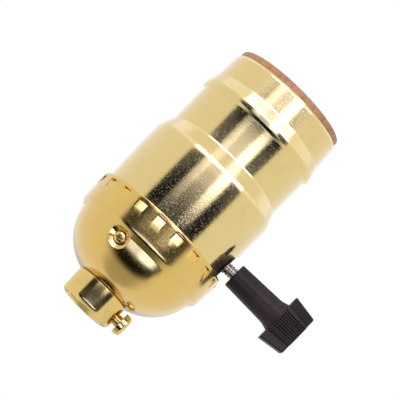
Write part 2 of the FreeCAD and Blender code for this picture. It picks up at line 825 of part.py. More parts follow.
def make_base_lower():
    """The lower half of the moulding: flange, terminal recesses and half of the chamber."""
    body = new_body("base_lower_turned")
    path = [
        ("0", BASE_FOOT),
        (f"{FLANGE} - flange_edge", BASE_FOOT),
        (FLANGE, f"{BASE_FOOT} + flange_edge", "flange_edge", 1),
        (FLANGE, FLANGE_TOP),
        (BASE, FLANGE_TOP),
        (BASE, SHAFT),
        ("0", SHAFT),
    ]
    turned(body, "base_lower_solid", outline_in(body, "base_lower_outline", "XZ_Plane", path))
    tools = chamber("lower_chamber")
    tools += rivet_holes("lower", f"{BASE_FOOT} - 1", f"{SHAFT} + 1", "rivet_radius + seat_gap")
    tools += [
        terminal_pocket("lower_neutral_pocket", -1, FLANGE_TOP, f"{SHAFT} + 1"),
        terminal_pocket("lower_hot_pocket", 1, FLANGE_TOP, f"{SHAFT} + 1"),
        screw_well("lower_neutral_well", -1),
        screw_well("lower_hot_well", 1),
        feed_way("feed_way"),
        dimple_way("flange_notch"),
    ]
    return less("base_lower", body, tools)


def make_base_upper():
    """The upper half of the moulding, under the screw shell."""
    body = new_body("base_upper_turned")
    path = [
        ("0", SHAFT),
        (BASE, SHAFT),
        (BASE, f"{BASE_TOP} - base_edge"),
        (f"{BASE} - base_edge", BASE_TOP, "base_edge", 1),
        ("0", BASE_TOP),
    ]
    turned(body, "base_upper_solid", outline_in(body, "base_upper_outline", "XZ_Plane", path))
    tools = chamber("upper_chamber")
    tools += rivet_holes("upper", f"{SHAFT} - 1", f"{BASE_TOP} + 1", "rivet_radius + seat_gap")
    foot = f"({BASE_TOP} - strap_wall)"
    tools += [
        terminal_pocket("upper_neutral_pocket", -1, f"{SHAFT} - 1", f"{BASE_TOP} + 1"),
        terminal_pocket("upper_hot_pocket", 1, f"{SHAFT} - 1", f"{SHAFT} + 2"),
        block(
            "upper_foot_recess",
            ("-strap_width / 2 - seat_gap", f"-{BASE} - strap_wall", foot),
            ("strap_width / 2 + seat_gap", f"-{STRAP_BACK} + strap_foot_reach", f"{BASE_TOP} + 1"),
        ),
        block(
            "takeoff_way",
            ("-leaf_width / 2 - seat_gap", f"-{LEAF_FACE} - leaf_wall - seat_gap", f"{SHAFT} + 1"),
            ("leaf_width / 2 + seat_gap", f"-{LEAF_FACE} + seat_gap", f"{BASE_TOP} + 1"),
        ),
        block(
            "takeoff_recess",
            ("-leaf_width / 2 - seat_gap", f"-{TAKEOFF_END} - seat_gap", f"{BASE_TOP} - leaf_wall"),
            ("leaf_width / 2 + seat_gap", f"-{LEAF_FACE} + seat_gap", f"{BASE_TOP} + 1"),
        ),
        rod(
            "contact_rivet_well", ("0", "-contact_rivet_offset", f"{BASE_TOP} - leaf_wall - 2 * rivet_head_height"),
            (0, 0, 1), "contact_rivet_head + 0.2", "3",
        ),
    ]
    return less("base_upper", body, tools)


def make_housing_rivets():
    """Two rivets through both halves of the base and the screw shell's floor."""
    pieces = []
    for index, side in enumerate((1, -1)):
        across, along = rivet_spot(side)
        shank = rod(
            f"rivet_shank_{index}", (across, along, BASE_FOOT), (0, 0, 1),
            "rivet_radius", f"{DISC_FOOT} - {BASE_FOOT}",
        )
        lower = rod(
            f"rivet_lower_head_{index}", (across, along, f"{BASE_FOOT} - rivet_head_height"), (0, 0, 1),
            "rivet_head_radius", "rivet_head_height",
        )
        upper = rod(
            f"rivet_upper_head_{index}", (across, along, DISC_FOOT), (0, 0, 1),
            "rivet_head_radius", "rivet_head_height",
        )
        pieces.append(fused(f"rivet_{index}", [lower, shank, upper]))
    both = DOC.addObject("Part::Compound", "housing_rivets")
    both.Links = pieces
    return both


def feed_way(name):
    """The slot that the feed leaf's foot comes in by, from the hot terminal to the chamber."""
    return block(
        name,
        ("-leaf_width / 2 - seat_gap", f"{CHAMBER_Y} - seat_gap", CHAMBER_FLOOR),
        ("leaf_width / 2 + seat_gap", f"{STRAP_BACK} + 1", f"{CHAMBER_FLOOR} + leaf_wall + seat_gap"),
    )


# ---------------------------------------------------------------- terminals, leaves and contacts

def contact_rivet_hole(name):
    """The hole for the centre contact's rivet."""
    return rod(name, ("0", "-contact_rivet_offset", f"{BASE_TOP} - 2"), (0, 0, 1),
               "contact_rivet_radius + seat_gap", f"{DISC_TOP} - {BASE_TOP} + 5")


def terminal_hole(name, side):
    """The hole for a terminal's screw."""
    return rod(name, ("0", f"{side} * ({STRAP_BACK} - strap_wall)", TERMINAL), (0, side, 0),
               "terminal_screw_radius + seat_gap", "terminal_screw_length")


def make_neutral_terminal():
    """The strap from the neutral screw up to the screw shell's floor."""
    path = [
        (f"-{STRAP_BACK}", FLANGE_TOP),
        (f"-{STRAP_BACK}", f"{BASE_TOP} - strap_wall"),
        (f"-{STRAP_BACK} + strap_foot_reach", f"{BASE_TOP} - strap_wall"),
    ]
    strap = strip("neutral", path, "strap_wall", "strap_width")
    return less("neutral_terminal", strap, [terminal_hole("neutral_hole", -1)])


def make_hot_terminal():
    """The short plate under the hot screw."""
    plate = block(
        "hot_plate",
        ("-strap_width / 2", STRAP_BACK, FLANGE_TOP),
        ("strap_width / 2", STRAP_FACE, f"{SHAFT} + hot_plate_rise"),
    )
    return less("hot_terminal", plate, [terminal_hole("hot_hole", 1)])


def make_terminal_screw(label, side):
    """A terminal screw, its head on the strap's face."""
    screw = slotted_screw(
        label, "terminal_screw_radius", "terminal_screw_length",
        "terminal_head_radius", "terminal_head_height", "screw_slot_width",
    )
    stand(screw, ("0", f"{side} * {STRAP_FACE}", TERMINAL), (0, side, 0))
    return screw


def make_feed_leaf():
    """The spring leaf from the hot terminal to the rotor."""
    path = [
        (f"{STRAP_BACK} - seat_gap", f"{CHAMBER_FLOOR} + leaf_wall"),
        (f"{LEAF_FACE} + leaf_wall", f"{CHAMBER_FLOOR} + leaf_wall"),
        (f"{LEAF_FACE} + leaf_wall", f"{SHAFT} + rotor_half"),
    ]
    leaf = strip("feed", path, "leaf_wall", "leaf_width")
    leaf.Label = "feed_leaf"
    return leaf


def make_takeoff_leaf():
    """The spring leaf from the rotor up to the centre contact's rivet."""
    path = [
        (f"-{LEAF_FACE}", f"{SHAFT} - rotor_half"),
        (f"-{LEAF_FACE}", BASE_TOP),
        (f"-{TAKEOFF_END}", BASE_TOP),
    ]
    leaf = strip("takeoff", path, "leaf_wall", "leaf_width")
    return less("takeoff_leaf", leaf, [contact_rivet_hole("takeoff_hole")])


THREAD_TURNS = 5


def rolled_thread(foot):
    """The rolled thread's ridges, as rings one pitch apart over a foot, up the sheet's outer face."""
    flank = "((thread_pitch - 2 * thread_land) / 2)"
    curve = f"(({flank} * {flank} + thread_depth * thread_depth) / (4 * thread_depth))"
    middle = f"{SCREW_SHELL} - thread_depth / 2"
    crest = f"{SCREW_SHELL} - thread_depth"
    path = []
    for ring in range(THREAD_TURNS):
        start = f"{foot} + {ring} * thread_pitch + thread_land"
        path.append((SCREW_SHELL, start))
        path.append((middle, f"{start} + {flank} / 2", curve, 1))
        path.append((crest, f"{start} + {flank}", curve, -1))
        path.append((crest, f"{start} + {flank} + thread_land"))
        path.append((middle, f"{start} + {flank} * 3 / 2 + thread_land", curve, -1))
        path.append((SCREW_SHELL, f"{start} + 2 * {flank} + thread_land", curve, 1))
    return path


def make_screw_shell():
    """The drawn and rolled shell that takes the lamp's screw cap, riveted through its floor."""
    top = f"({BASE_TOP} + screw_shell_height)"
    path = [
        ("screw_shell_opening", BASE_TOP),
        (f"{SEAT} - screw_shell_corner", BASE_TOP),
        (SEAT, f"{BASE_TOP} + screw_shell_corner", "screw_shell_corner", 1),
        (SEAT, f"{BASE_TOP} + seat_height - seat_inset"),
        (SCREW_SHELL, f"{BASE_TOP} + seat_height"),
        *rolled_thread(f"{BASE_TOP} + seat_height"),
        (SCREW_SHELL, f"{top} - flare_height"),
        (f"{SCREW_SHELL} + screw_shell_flare", top),
    ]
    ring = sheet_ring("lamp_shell", path, "screw_shell_wall")
    holes = rivet_holes("shell_rivet", f"{BASE_TOP} - 1", f"{DISC_FOOT} + 1", "rivet_radius + seat_gap")
    return less("screw_shell", ring, holes)


def make_disc():
    """The fibre disc between the screw shell's floor and the centre contact."""
    disc = rod("disc_plain", ("0", "0", DISC_FOOT), (0, 0, 1), DISC_RADIUS, "disc_wall")
    holes = rivet_holes("disc", f"{DISC_FOOT} - 1", f"{DISC_TOP} + 1", "rivet_head_radius + 0.2")
    return less("insulating_disc", disc, holes + [contact_rivet_hole("disc_contact_hole")])


def make_centre_contact():
    """The brass tongue that the lamp's tip presses on."""
    path = [
        (f"-{TAKEOFF_END}", DISC_TOP),
        ("-1.5 * contact_reach", DISC_TOP),
        ("-contact_reach", f"{DISC_TOP} + contact_rise"),
        ("contact_reach", f"{DISC_TOP} + contact_rise", "contact_curve", -1),
        ("1.5 * contact_reach", f"{DISC_TOP} + contact_rise / 2"),
    ]
    tongue = strip("tongue", path, "contact_wall", "contact_width")
    return less("centre_contact", tongue, [contact_rivet_hole("tongue_hole")])


def make_contact_rivet():
    """The rivet through the leaf's foot, the disc and the centre contact."""
    low = f"({BASE_TOP} - leaf_wall - rivet_head_height)"
    high = f"({DISC_TOP} + contact_wall)"
    place = ("0", "-contact_rivet_offset")
    tail = rod("contact_rivet_tail", (*place, low), (0, 0, 1), "contact_rivet_head", "rivet_head_height")
    shank = rod("contact_rivet_shank", (*place, low), (0, 0, 1), "contact_rivet_radius", f"{high} - {low}")
    head = rod("contact_rivet_top", (*place, high), (0, 0, 1), "contact_rivet_head", "rivet_head_height")
    return fused("contact_rivet", [tail, shank, head])


# ---------------------------------------------------------------- the whole socket

PIECES = [
    make_hub(),
    make_set_screw(),
    make_cap(),
    make_cap_screw(),
    make_cap_card(),
    make_shell(),
    make_liner(),
    make_shaft(),
    make_rotor(),
    make_bridge(),
    make_clip(),
    make_knob(),
    make_base_lower(),
    make_base_upper(),
    make_housing_rivets(),
    make_neutral_terminal(),
    make_hot_terminal(),
    make_terminal_screw("neutral_screw", -1),
    make_terminal_screw("hot_screw", 1),
    make_feed_leaf(),
    make_takeoff_leaf(),
    make_screw_shell(),
    make_disc(),
    make_centre_contact(),
    make_contact_rivet(),
]
DOC.recompute()

for thing in DOC.Objects:
    faults = {"Invalid", "Error"} & set(thing.State)
    if faults:
        raise RuntimeError(f"{thing.Label} failed: {sorted(faults)}")
for piece in PIECES:
    if piece.Shape.isNull() or not piece.Shape.isValid() or not piece.Shape.Solids:
        raise RuntimeError(f"{piece.Label} has no sound solid")

os.makedirs("parts", exist_ok=True)
for piece in PIECES:
    piece.Shape.exportStep(f"parts/{piece.Label}.step")
    box = piece.Shape.BoundBox
    print(f"{piece.Label:18s} {len(piece.Shape.Solids)} solid(s) {piece.Shape.Volume:9.1f} mm3 "
          f"z {box.ZMin:6.2f} to {box.ZMax:6.2f}")
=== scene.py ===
"""Dresses the lamp holder: drawn shell, windowed cap, hub, turn knob, threads, finishes and studio."""

import math

import bmesh
import bpy
from bpy.props import FloatProperty, FloatVectorProperty, IntProperty, PointerProperty
from mathutils import Matrix, Vector


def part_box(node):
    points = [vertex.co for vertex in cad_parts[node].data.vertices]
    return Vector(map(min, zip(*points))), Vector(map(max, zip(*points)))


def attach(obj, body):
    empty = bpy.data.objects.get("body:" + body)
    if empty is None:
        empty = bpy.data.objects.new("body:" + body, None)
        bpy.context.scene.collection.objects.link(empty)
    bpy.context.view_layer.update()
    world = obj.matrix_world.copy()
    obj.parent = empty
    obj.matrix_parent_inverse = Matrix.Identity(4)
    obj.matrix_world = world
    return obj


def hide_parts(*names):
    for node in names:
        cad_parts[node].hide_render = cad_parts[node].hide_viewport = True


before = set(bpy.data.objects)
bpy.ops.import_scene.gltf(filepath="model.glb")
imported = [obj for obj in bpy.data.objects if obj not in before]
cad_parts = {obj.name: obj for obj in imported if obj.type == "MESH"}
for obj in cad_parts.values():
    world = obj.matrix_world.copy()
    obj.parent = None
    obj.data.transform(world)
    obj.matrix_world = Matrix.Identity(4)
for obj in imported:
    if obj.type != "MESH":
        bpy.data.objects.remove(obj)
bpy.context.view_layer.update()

bl_info = {
    "name": "Lamp holder",
    "version": (1, 0, 0),
    "blender": (4, 2, 0),
    "location": "3D View > Sidebar > Lamp holder",
    "description": "Models the drawn brass pieces, the knob and the finishes of a turn-knob lamp holder",
    "category": "Object",
}

FULL_TURN = 2 * math.pi
DEGREES = 180 / math.pi
UP = Vector((0, 0, 1))
SHAFT_LEVEL = 0.0289
NEAR = 1e-6
MEETING = 1e-7


def length(name, description, default):
    return FloatProperty(name=name, description=description, default=default, unit="LENGTH", precision=5)


def angle(name, description, default):
    return FloatProperty(name=name, description=description, default=default, subtype="ANGLE")


def colour(name, description, default):
    return FloatVectorProperty(
        name=name, description=description, default=default, subtype="COLOR", size=3, min=0.0, max=1.0
    )


def share(name, description, default):
    return FloatProperty(
        name=name, description=description, default=default, subtype="FACTOR", min=0.0, max=1.0
    )


def place(name, description, default):
    return FloatVectorProperty(name=name, description=description, default=default, subtype="TRANSLATION")


class ShellSizes(bpy.types.PropertyGroup):
    """Sizes of the drawn shell and the fibre liner inside it."""

    skirt_radius: length("Skirt radius", "Radius of the edge that goes into the cap", 0.01625)
    skirt_foot: length("Skirt foot", "Height of the shell's lower edge", 0.0196)
    wide_radius: length("Wide radius", "Radius of the wall over the switch", 0.0169)
    shoulder_foot: length("Shoulder foot", "Height where the wall starts to narrow", 0.0412)
    shoulder_top: length("Shoulder top", "Height where the narrow neck starts", 0.0449)
    neck_radius: length("Neck radius", "Radius of the wall round the screw shell", 0.0155)
    bead_foot: length("Bead foot", "Height of the bead's lower edge", 0.0547)
    bead_depth: length("Bead depth", "How far the bead stands out of the neck", 0.0006)
    bead_top: length("Bead top", "Height where the bead runs out into the rim", 0.0588)
    rim_radius: length("Rim radius", "Radius of the wall above the bead", 0.01532)
    mouth_radius: length("Mouth radius", "Radius of the rolled edge at the mouth", 0.0150)
    mouth_height: length("Mouth height", "Height of the rolled edge at the mouth", 0.0651)
    wall: length("Wall", "Thickness of the drawn sheet", 0.0004)
    slot_width: length("Slot width", "Width of the slot that passes over the shaft", 0.008)
    liner_radius: length("Liner radius", "Outer radius of the fibre liner", 0.01455)
    liner_wall: length("Liner wall", "Thickness of the fibre", 0.0005)
    liner_foot: length("Liner foot", "Height of the liner's lower edge", 0.021)
    liner_top: length("Liner top", "Height of the liner's edge at the mouth", 0.0666)
    liner_slot: length("Liner slot", "Width of the liner's slot over the shaft", 0.010)


class CapSizes(bpy.types.PropertyGroup):
    """Sizes of the domed cap with its ring of lanced windows."""

    floor_radius: length("Floor radius", "Radius where the dome meets the hub", 0.0073)
    floor_height: length("Floor height", "Height where the dome meets the hub", 0.0063)
    dome_bend: length("Dome bend", "Radius of the dome's curve", 0.013)
    dome_radius: length("Dome radius", "Radius of the dome's upper edge", 0.0160)
    dome_top: length("Dome top", "Height of the dome's upper edge", 0.0156)
    band_foot: length("Band foot", "Height where the band starts", 0.0182)
    band_radius: length("Band radius", "Radius of the band at its foot", 0.01735)
    band_flare: length("Band flare", "How much the band widens towards its edge", 0.00025)
    top: length("Top", "Height of the band's upper edge", 0.0249)
    wall: length("Wall", "Thickness of the drawn sheet", 0.0005)
    windows: IntProperty(name="Windows", description="Number of lanced windows round the band", default=20)
    window_foot: length("Window foot", "Height of a window's lower edge", 0.0216)
    window_top: length("Window top", "Height of a window's upper edge", 0.02415)
    lance_depth: length("Lance depth", "How far a panel's top is pressed inwards", 0.00048)
    window_turn: angle("Window turn", "Turn of the ring of windows", math.radians(-4.5))
    dimple_turn: angle("Dimple turn", "Direction of the dimple, seen from above", math.radians(-110.2))
    dimple_height: length("Dimple height", "Height of the dimple's middle", 0.01475)
    dimple_tilt: angle("Dimple tilt", "How far the dimple faces down", math.radians(16))
    dimple_radius: length("Dimple radius", "Radius of the dimple's lip", 0.00262)
    dimple_floor: length("Dimple floor", "Radius of the dimple's flat floor", 0.00142)
    dimple_depth: length("Dimple depth", "Depth of the dimple", 0.00085)


class HubSizes(bpy.types.PropertyGroup):
    """Sizes of the turned hub and its side screw."""

    radius: length("Radius", "Radius of the hub at its lower edge", 0.00665)
    top_radius: length("Top radius", "Radius of the hub where it meets the cap", 0.00687)
    height: length("Height", "Height of the hub under the cap", 0.0063)
    edge: length("Edge", "Radius of the rounded lower edge", 0.0011)
    bore: length("Bore", "Radius of the pipe thread's root", 0.00475)
    bore_height: length("Bore height", "Height of the threaded bore", 0.0074)
    thread_pitch: length("Thread pitch", "Pitch of the pipe thread", 0.00094)
    thread_depth: length("Thread depth", "Depth of the pipe thread", 0.0005)
    screw_height: length("Screw height", "Height of the side screw's axis", 0.00325)
    screw_head_start: length("Screw head start", "Distance of the head from the hub's axis", 0.00785)
    screw_head_length: length("Screw head length", "Length of the side screw's head", 0.00195)
    screw_head_radius: length("Screw head radius", "Radius of the side screw's head", 0.0026)
    screw_radius: length("Screw radius", "Radius of the side screw's thread", 0.00142)


class KnobSizes(bpy.types.PropertyGroup):
    """Sizes of the ribbed knob and the shaft that it is screwed on."""

    start: length("Start", "Distance of the stem's end from the holder's axis", 0.01875)
    stem_radius: length("Stem radius", "Radius of the stem at its end", 0.0030)
    stem_wide: length("Stem wide", "Radius of the stem beside the head", 0.003325)
    head_start: length("Head start", "Distance of the head from the holder's axis", 0.0323)
    head_end: length("Head end", "Distance of the knob's end from the holder's axis", 0.0385)
    wing_reach: length("Wing reach", "Half of the head's width at its start", 0.0061)
    wing_end_reach: length("Wing end reach", "Half of the head's width at its end", 0.00525)
    wing_thickness: length("Wing thickness", "Half of a wing's thickness", 0.0019)
    pad_depth: length("Pad depth", "Distance of the ribbed pad from the shaft's axis", 0.00325)
    pad_reach: length("Pad reach", "Half of the ribbed pad's width", 0.0028)
    ribs: IntProperty(name="Ribs", description="Number of ribs on each pad", default=9)
    rib_depth: length("Rib depth", "Depth of the grooves between the ribs", 0.00030)
    thread_radius: length("Thread radius", "Radius of the shaft's thread", 0.00142)
    thread_pitch: length("Thread pitch", "Pitch of the shaft's thread", 0.000706)
    shaft_radius: length("Shaft radius", "Radius of the plain shaft", 0.0016)


class LampThreadSizes(bpy.types.PropertyGroup):
    """Sizes of the rolled screw shell that takes the lamp."""

    root: length("Root radius", "Inner radius at the thread's root", 0.0133)
    crest: length("Crest radius", "Inner radius at the thread's crest", 0.01245)
    pitch: length("Pitch", "Pitch of the rolled thread", 0.00363)
    wall: length("Wall", "Thickness of the rolled sheet", 0.0003)


class Finishes(bpy.types.PropertyGroup):
    """Colours and gloss of the materials."""

    shell: colour("Shell brass", "Pale gilt of the drawn shell", (0.720, 0.550, 0.210))
    cap: colour("Cap brass", "Deeper gilt of the cap", (0.705, 0.472, 0.112))
    hub: colour("Hub brass", "Gilt of the turned hub and screws", (0.735, 0.535, 0.185))
    worn: colour("Worn brass", "Darker brass in hollows and along worn edges", (0.40, 0.25, 0.09))
    contact: colour("Contact brass", "Plain sheet of the screw shell and terminals", (0.60, 0.44, 0.19))
    bronze: colour("Spring bronze", "Bronze of the switch's leaves", (0.52, 0.30, 0.15))
    steel: colour("Steel", "Turned steel of the shaft and rivets", (0.42, 0.36, 0.25))
    plate: colour("Nickel plate", "Plated screw of the neutral side", (0.60, 0.58, 0.54))
    fibre: colour("Fibre", "Reddish brown fibre of the liner", (0.385, 0.185, 0.055))
    phenolic: colour("Phenolic", "Dark moulding of the switch's body and knob", (0.016, 0.0128, 0.0108))
    shell_gloss: share("Shell roughness", "Roughness of the satin shell", 0.10)
    cap_gloss: share("Cap roughness", "Roughness of the bright cap", 0.18)


class StudioSizes(bpy.types.PropertyGroup):
    """Places of the camera and the floor."""

    camera: place("Camera", "Place of the camera", (0.0, -0.60, -0.065))
    aim: place("Aim", "Point that the camera looks at", (0.0016, 0.0, 0.0356))
    roll: angle("Roll", "Turn of the camera about its line of sight", math.radians(44.5))
    lens: FloatProperty(name="Lens", description="Focal length in millimetres", default=245.0, min=1.0)
    floor_level: length("Floor level", "Height of the floor", -0.13)


class Link:
    """A value that runs through a material's nodes. Sums on it add Math nodes."""

    def __init__(self, recipe, socket):
        self.recipe = recipe
        self.socket = socket

    def _sum(self, operation, first, second):
        node = self.recipe.add("ShaderNodeMath", {"operation": operation}, {0: first, 1: second})
        return Link(self.recipe, node.outputs[0])

    def __add__(self, other):
        return self._sum("ADD", self, other)

    def __radd__(self, other):
        return self._sum("ADD", other, self)

    def __sub__(self, other):
        return self._sum("SUBTRACT", self, other)

    def __rsub__(self, other):
        return self._sum("SUBTRACT", other, self)

    def __mul__(self, other):
        return self._sum("MULTIPLY", self, other)

    def __abs__(self):
        return self._sum("ABSOLUTE", self, 0.0)

    def angle_over(self, other):
        """The angle in degrees whose tangent is this value over the other."""
        return self._sum("ARCTAN2", self, other) * DEGREES

    def angle_of_sine(self):
        """The angle in degrees whose sine is this value."""
        return self._sum("ARCSINE", self, 0.0) * DEGREES


class Recipe:
    """The nodes of one material or of the world."""

    def __init__(self, tree):
        self.tree = tree
        tree.nodes.clear()

    def add(self, kind, settings=None, inputs=None):
        """One node: its settings first, then the values and links of its sockets."""
        node = self.tree.nodes.new(kind)
        for name, value in (settings or {}).items():
            setattr(node, name, value)
        for key, value in (inputs or {}).items():
            socket = node.inputs[key]
            if isinstance(value, Link):
                self.tree.links.new(value.socket, socket)
            elif socket.type == "RGBA":
                socket.default_value = (*value, 1.0)
            else:
                socket.default_value = value
        return node

    def out(self, node, key=0):
        return Link(self, node.outputs[key])

    def place(self, stretch=(1, 1, 1)):
        """Object coordinates, stretched so that a pattern follows the piece."""
        coordinate = self.out(self.add("ShaderNodeTexCoord"), "Object")
        return self.out(self.add("ShaderNodeMapping", None, {"Vector": coordinate, "Scale": stretch}))

    def noise(self, place, scale, detail=3.0, roughness=0.55):
        inputs = {"Vector": place, "Scale": scale, "Detail": detail, "Roughness": roughness}
        return self.out(self.add("ShaderNodeTexNoise", None, inputs))

    def between(self, value, low, high, first=0.0, last=1.0):
        """Runs softly from first to last as value goes from low to high."""
        inputs = {"Value": value, "From Min": low, "From Max": high, "To Min": first, "To Max": last}
        node = self.add("ShaderNodeMapRange", {"interpolation_type": "SMOOTHSTEP"}, inputs)
        return self.out(node)

    def blend(self, factor, first, second):
        """Goes from the first colour to the second."""
        node = self.add("ShaderNodeMix", {"data_type": "RGBA"}, {0: factor, 6: first, 7: second})
        return self.out(node, 2)

    def bump(self, height, strength, distance):
        inputs = {"Height": height, "Strength": strength, "Distance": distance}
        return self.out(self.add("ShaderNodeBump", None, inputs))

    def surface(self, inputs):
        shader = self.add("ShaderNodeBsdfPrincipled", None, inputs)
        self.add("ShaderNodeOutputMaterial", None, {"Surface": self.out(shader)})


def new_finish(name):
    material = bpy.data.materials.new(name)
    material.use_nodes = True
    return material, Recipe(material.node_tree)


def sheet_brass(name, tint, worn, roughness, grain_depth, pits):
    """Drawn and gilt sheet: a fine satin grain, duller pits, slow cloudiness and darker specks."""
    material, mix = new_finish(name)
    place = mix.place()
    cloud = mix.noise(place, 130.0, 4.0)
    speck = mix.noise(place, 2700.0, 2.0, 0.65)
    smear = mix.noise(mix.place((1, 1, 0.12)), 520.0, 3.0)
    stain = mix.between(cloud, 0.52, 0.80, 0.0, 0.16)
    shade = mix.blend(stain + mix.between(speck, 0.62, 0.80, 0.0, 0.10), tint, worn)
    dull = roughness - 0.03 + cloud * 0.04 + mix.between(speck, 0.49, 0.66, 0.0, pits)
    height = speck * 0.7 + smear * 0.3
    mix.surface(
        {
            "Base Color": shade,
            "Metallic": 1.0,
            "Roughness": dull,
            "Coat Weight": 1.0,
            "Coat Roughness": 0.16,
            "Coat IOR": 1.5,
            "Normal": mix.bump(height, 1.0, grain_depth),
        }
    )
    return material


def turned_metal(name, tint, worn, roughness, stretch):
    """Turned or rolled metal: fine lines along the cut, with handling marks."""
    line_depth = 0.000004
    material, mix = new_finish(name)
    cut = mix.noise(mix.place(stretch), 900.0, 3.0, 0.7)
    cloud = mix.noise(mix.place(), 260.0, 3.0)
    shade = mix.blend(mix.between(cloud, 0.50, 0.78, 0.0, 0.35), tint, worn)
    mix.surface(
        {
            "Base Color": shade,
            "Metallic": 1.0,
            "Roughness": roughness - 0.05 + cloud * 0.10,
            "Normal": mix.bump(cut, 1.0, line_depth),
        }
    )
    return material


def fibre_board(name, tint, dark):
    """Vulcanised fibre: short mottled fibres, darker clouds and a dull sheen."""
    material, mix = new_finish(name)
    strands = mix.noise(mix.place((1, 1, 0.25)), 1500.0, 4.0, 0.65)
    cloud = mix.noise(mix.place(), 220.0, 3.0)
    shade = mix.blend(mix.between(strands, 0.42, 0.68, 0.0, 0.45), tint, dark)
    shade = mix.blend(mix.between(cloud, 0.50, 0.75, 0.0, 0.30), shade, dark)
    mix.surface(
        {
            "Base Color": shade,
            "Roughness": mix.between(strands, 0.3, 0.7, 0.50, 0.68),
            "Normal": mix.bump(strands, 0.8, 0.00003),
        }
    )
    return material


def moulded_phenolic(name, tint, roughness, grit):
    """Dark moulded phenolic with a faint brown cloud, patchy gloss and a fine grit."""
    material, mix = new_finish(name)
    cloud = mix.noise(mix.place(), 180.0, 4.0)
    fine = mix.noise(mix.place(), 3000.0, 2.0, 0.6)
    brown = (tint[0] * 2.0, tint[1] * 1.6, tint[2] * 1.5)
    shade = mix.blend(mix.between(cloud, 0.42, 0.72, 0.0, 0.7), tint, brown)
    mix.surface(
        {
            "Base Color": shade,
            "Specular IOR Level": 0.16,
            "Specular Tint": (1.0, 0.80, 0.50),
            "Roughness": roughness - 0.04 + cloud * 0.12,
            "Normal": mix.bump(fine, 1.0, grit),
        }
    )
    return material


def clear_selection():
    if bpy.context.object and bpy.context.object.mode != "OBJECT":
        bpy.ops.object.mode_set(mode="OBJECT")
    bpy.ops.object.select_all(action="DESELECT")


def choose(piece):
    clear_selection()
    piece.select_set(True)
    bpy.context.view_layer.objects.active = piece


def edit(piece):
    choose(piece)
    bpy.ops.object.mode_set(mode="EDIT")


def leave():
    bpy.ops.object.mode_set(mode="OBJECT")


def pick(piece, kind, test):
    """In edit mode, selects only the vertices, edges or faces that pass the test."""
    mesh = bmesh.from_edit_mesh(piece.data)
    modes = {"verts": (True, False, False), "edges": (False, True, False), "faces": (False, False, True)}
    bpy.context.tool_settings.mesh_select_mode = modes[kind]
    mesh.select_mode = {{"verts": "VERT", "edges": "EDGE", "faces": "FACE"}[kind]}
    for face in mesh.faces:
        face.select = False
    for line in mesh.edges:
        line.select = False
    for corner in mesh.verts:
        corner.select = False
    for item in getattr(mesh, kind):
        if test(item):
            item.select_set(True)
    mesh.select_flush_mode()
    bmesh.update_edit_mesh(piece.data)


def pick_all(piece):
    pick(piece, "verts", lambda corner: True)


def weld(piece):
    """In edit mode, joins the corners that meet and points the faces outwards."""
    pick_all(piece)
    bpy.ops.mesh.remove_doubles(threshold=MEETING)
    bpy.ops.mesh.normals_make_consistent(inside=False)


def point_faces(piece, inside=False):
    """Points all faces outwards, or inwards."""
    edit(piece)
    pick_all(piece)
    bpy.ops.mesh.normals_make_consistent(inside=inside)
    leave()


def settle():
    """Applies the active piece's place, turn and scale to its mesh."""
    bpy.ops.object.transform_apply(location=True, rotation=True, scale=True)


def apply_modifier(piece, kind, **settings):
    """Adds a modifier, sets it and applies it."""
    choose(piece)
    bpy.ops.object.modifier_add(type=kind)
    modifier = piece.modifiers[-1]
    for name, value in settings.items():
        setattr(modifier, name, value)
    bpy.ops.object.modifier_apply(modifier=modifier.name)


def cut(piece, tool):
    """Cuts the tool out of the piece and throws the tool away."""
    apply_modifier(piece, "BOOLEAN", object=tool, operation="DIFFERENCE", solver="EXACT")
    bpy.data.objects.remove(tool)


def merge(piece, *others):
    """Joins loose pieces into one object without cutting them."""
    choose(piece)
    for other in others:
        other.select_set(True)
    bpy.ops.object.join()


def trace(name, points):
    """A line of edges through the points, grown from one corner of a small square."""
    clear_selection()
    side = 0.001
    first = Vector(points[0])
    bpy.ops.mesh.primitive_plane_add(size=side, location=first + Vector((side / 2, side / 2, 0)))
    piece = bpy.context.object
    piece.name = name
    settle()
    edit(piece)
    pick(piece, "verts", lambda corner: (corner.co - first).length > side / 2)
    bpy.ops.mesh.delete(type="VERT")
    pick_all(piece)
    for start, end in zip(points, points[1:]):
        step = Vector(end) - Vector(start)
        bpy.ops.mesh.extrude_region_move(TRANSFORM_OT_translate={"value": step})
    return piece


class Lathe:
    """Places profile points (radius, distance along the axis) about an axis."""

    def __init__(self, along, centre=(0, 0, 0)):
        self.centre = Vector(centre)
        self.along = Vector(along).normalized()
        self.out = Vector((1, 0, 0)) if abs(self.along.x) < 0.5 else Vector((0, 0, 1))
        self.out = (self.out - self.along * self.out.dot(self.along)).normalized()

    def point(self, radius, distance):
        return self.centre + self.along * distance + self.out * radius

    def read(self, place):
        rest = Vector(place) - self.centre
        distance = rest.dot(self.along)
        return (rest - self.along * distance).length, distance


UPRIGHT = Lathe((0, 0, 1))
SHAFT_AXIS = Lathe((1, 0, 0), (0, 0, SHAFT_LEVEL))


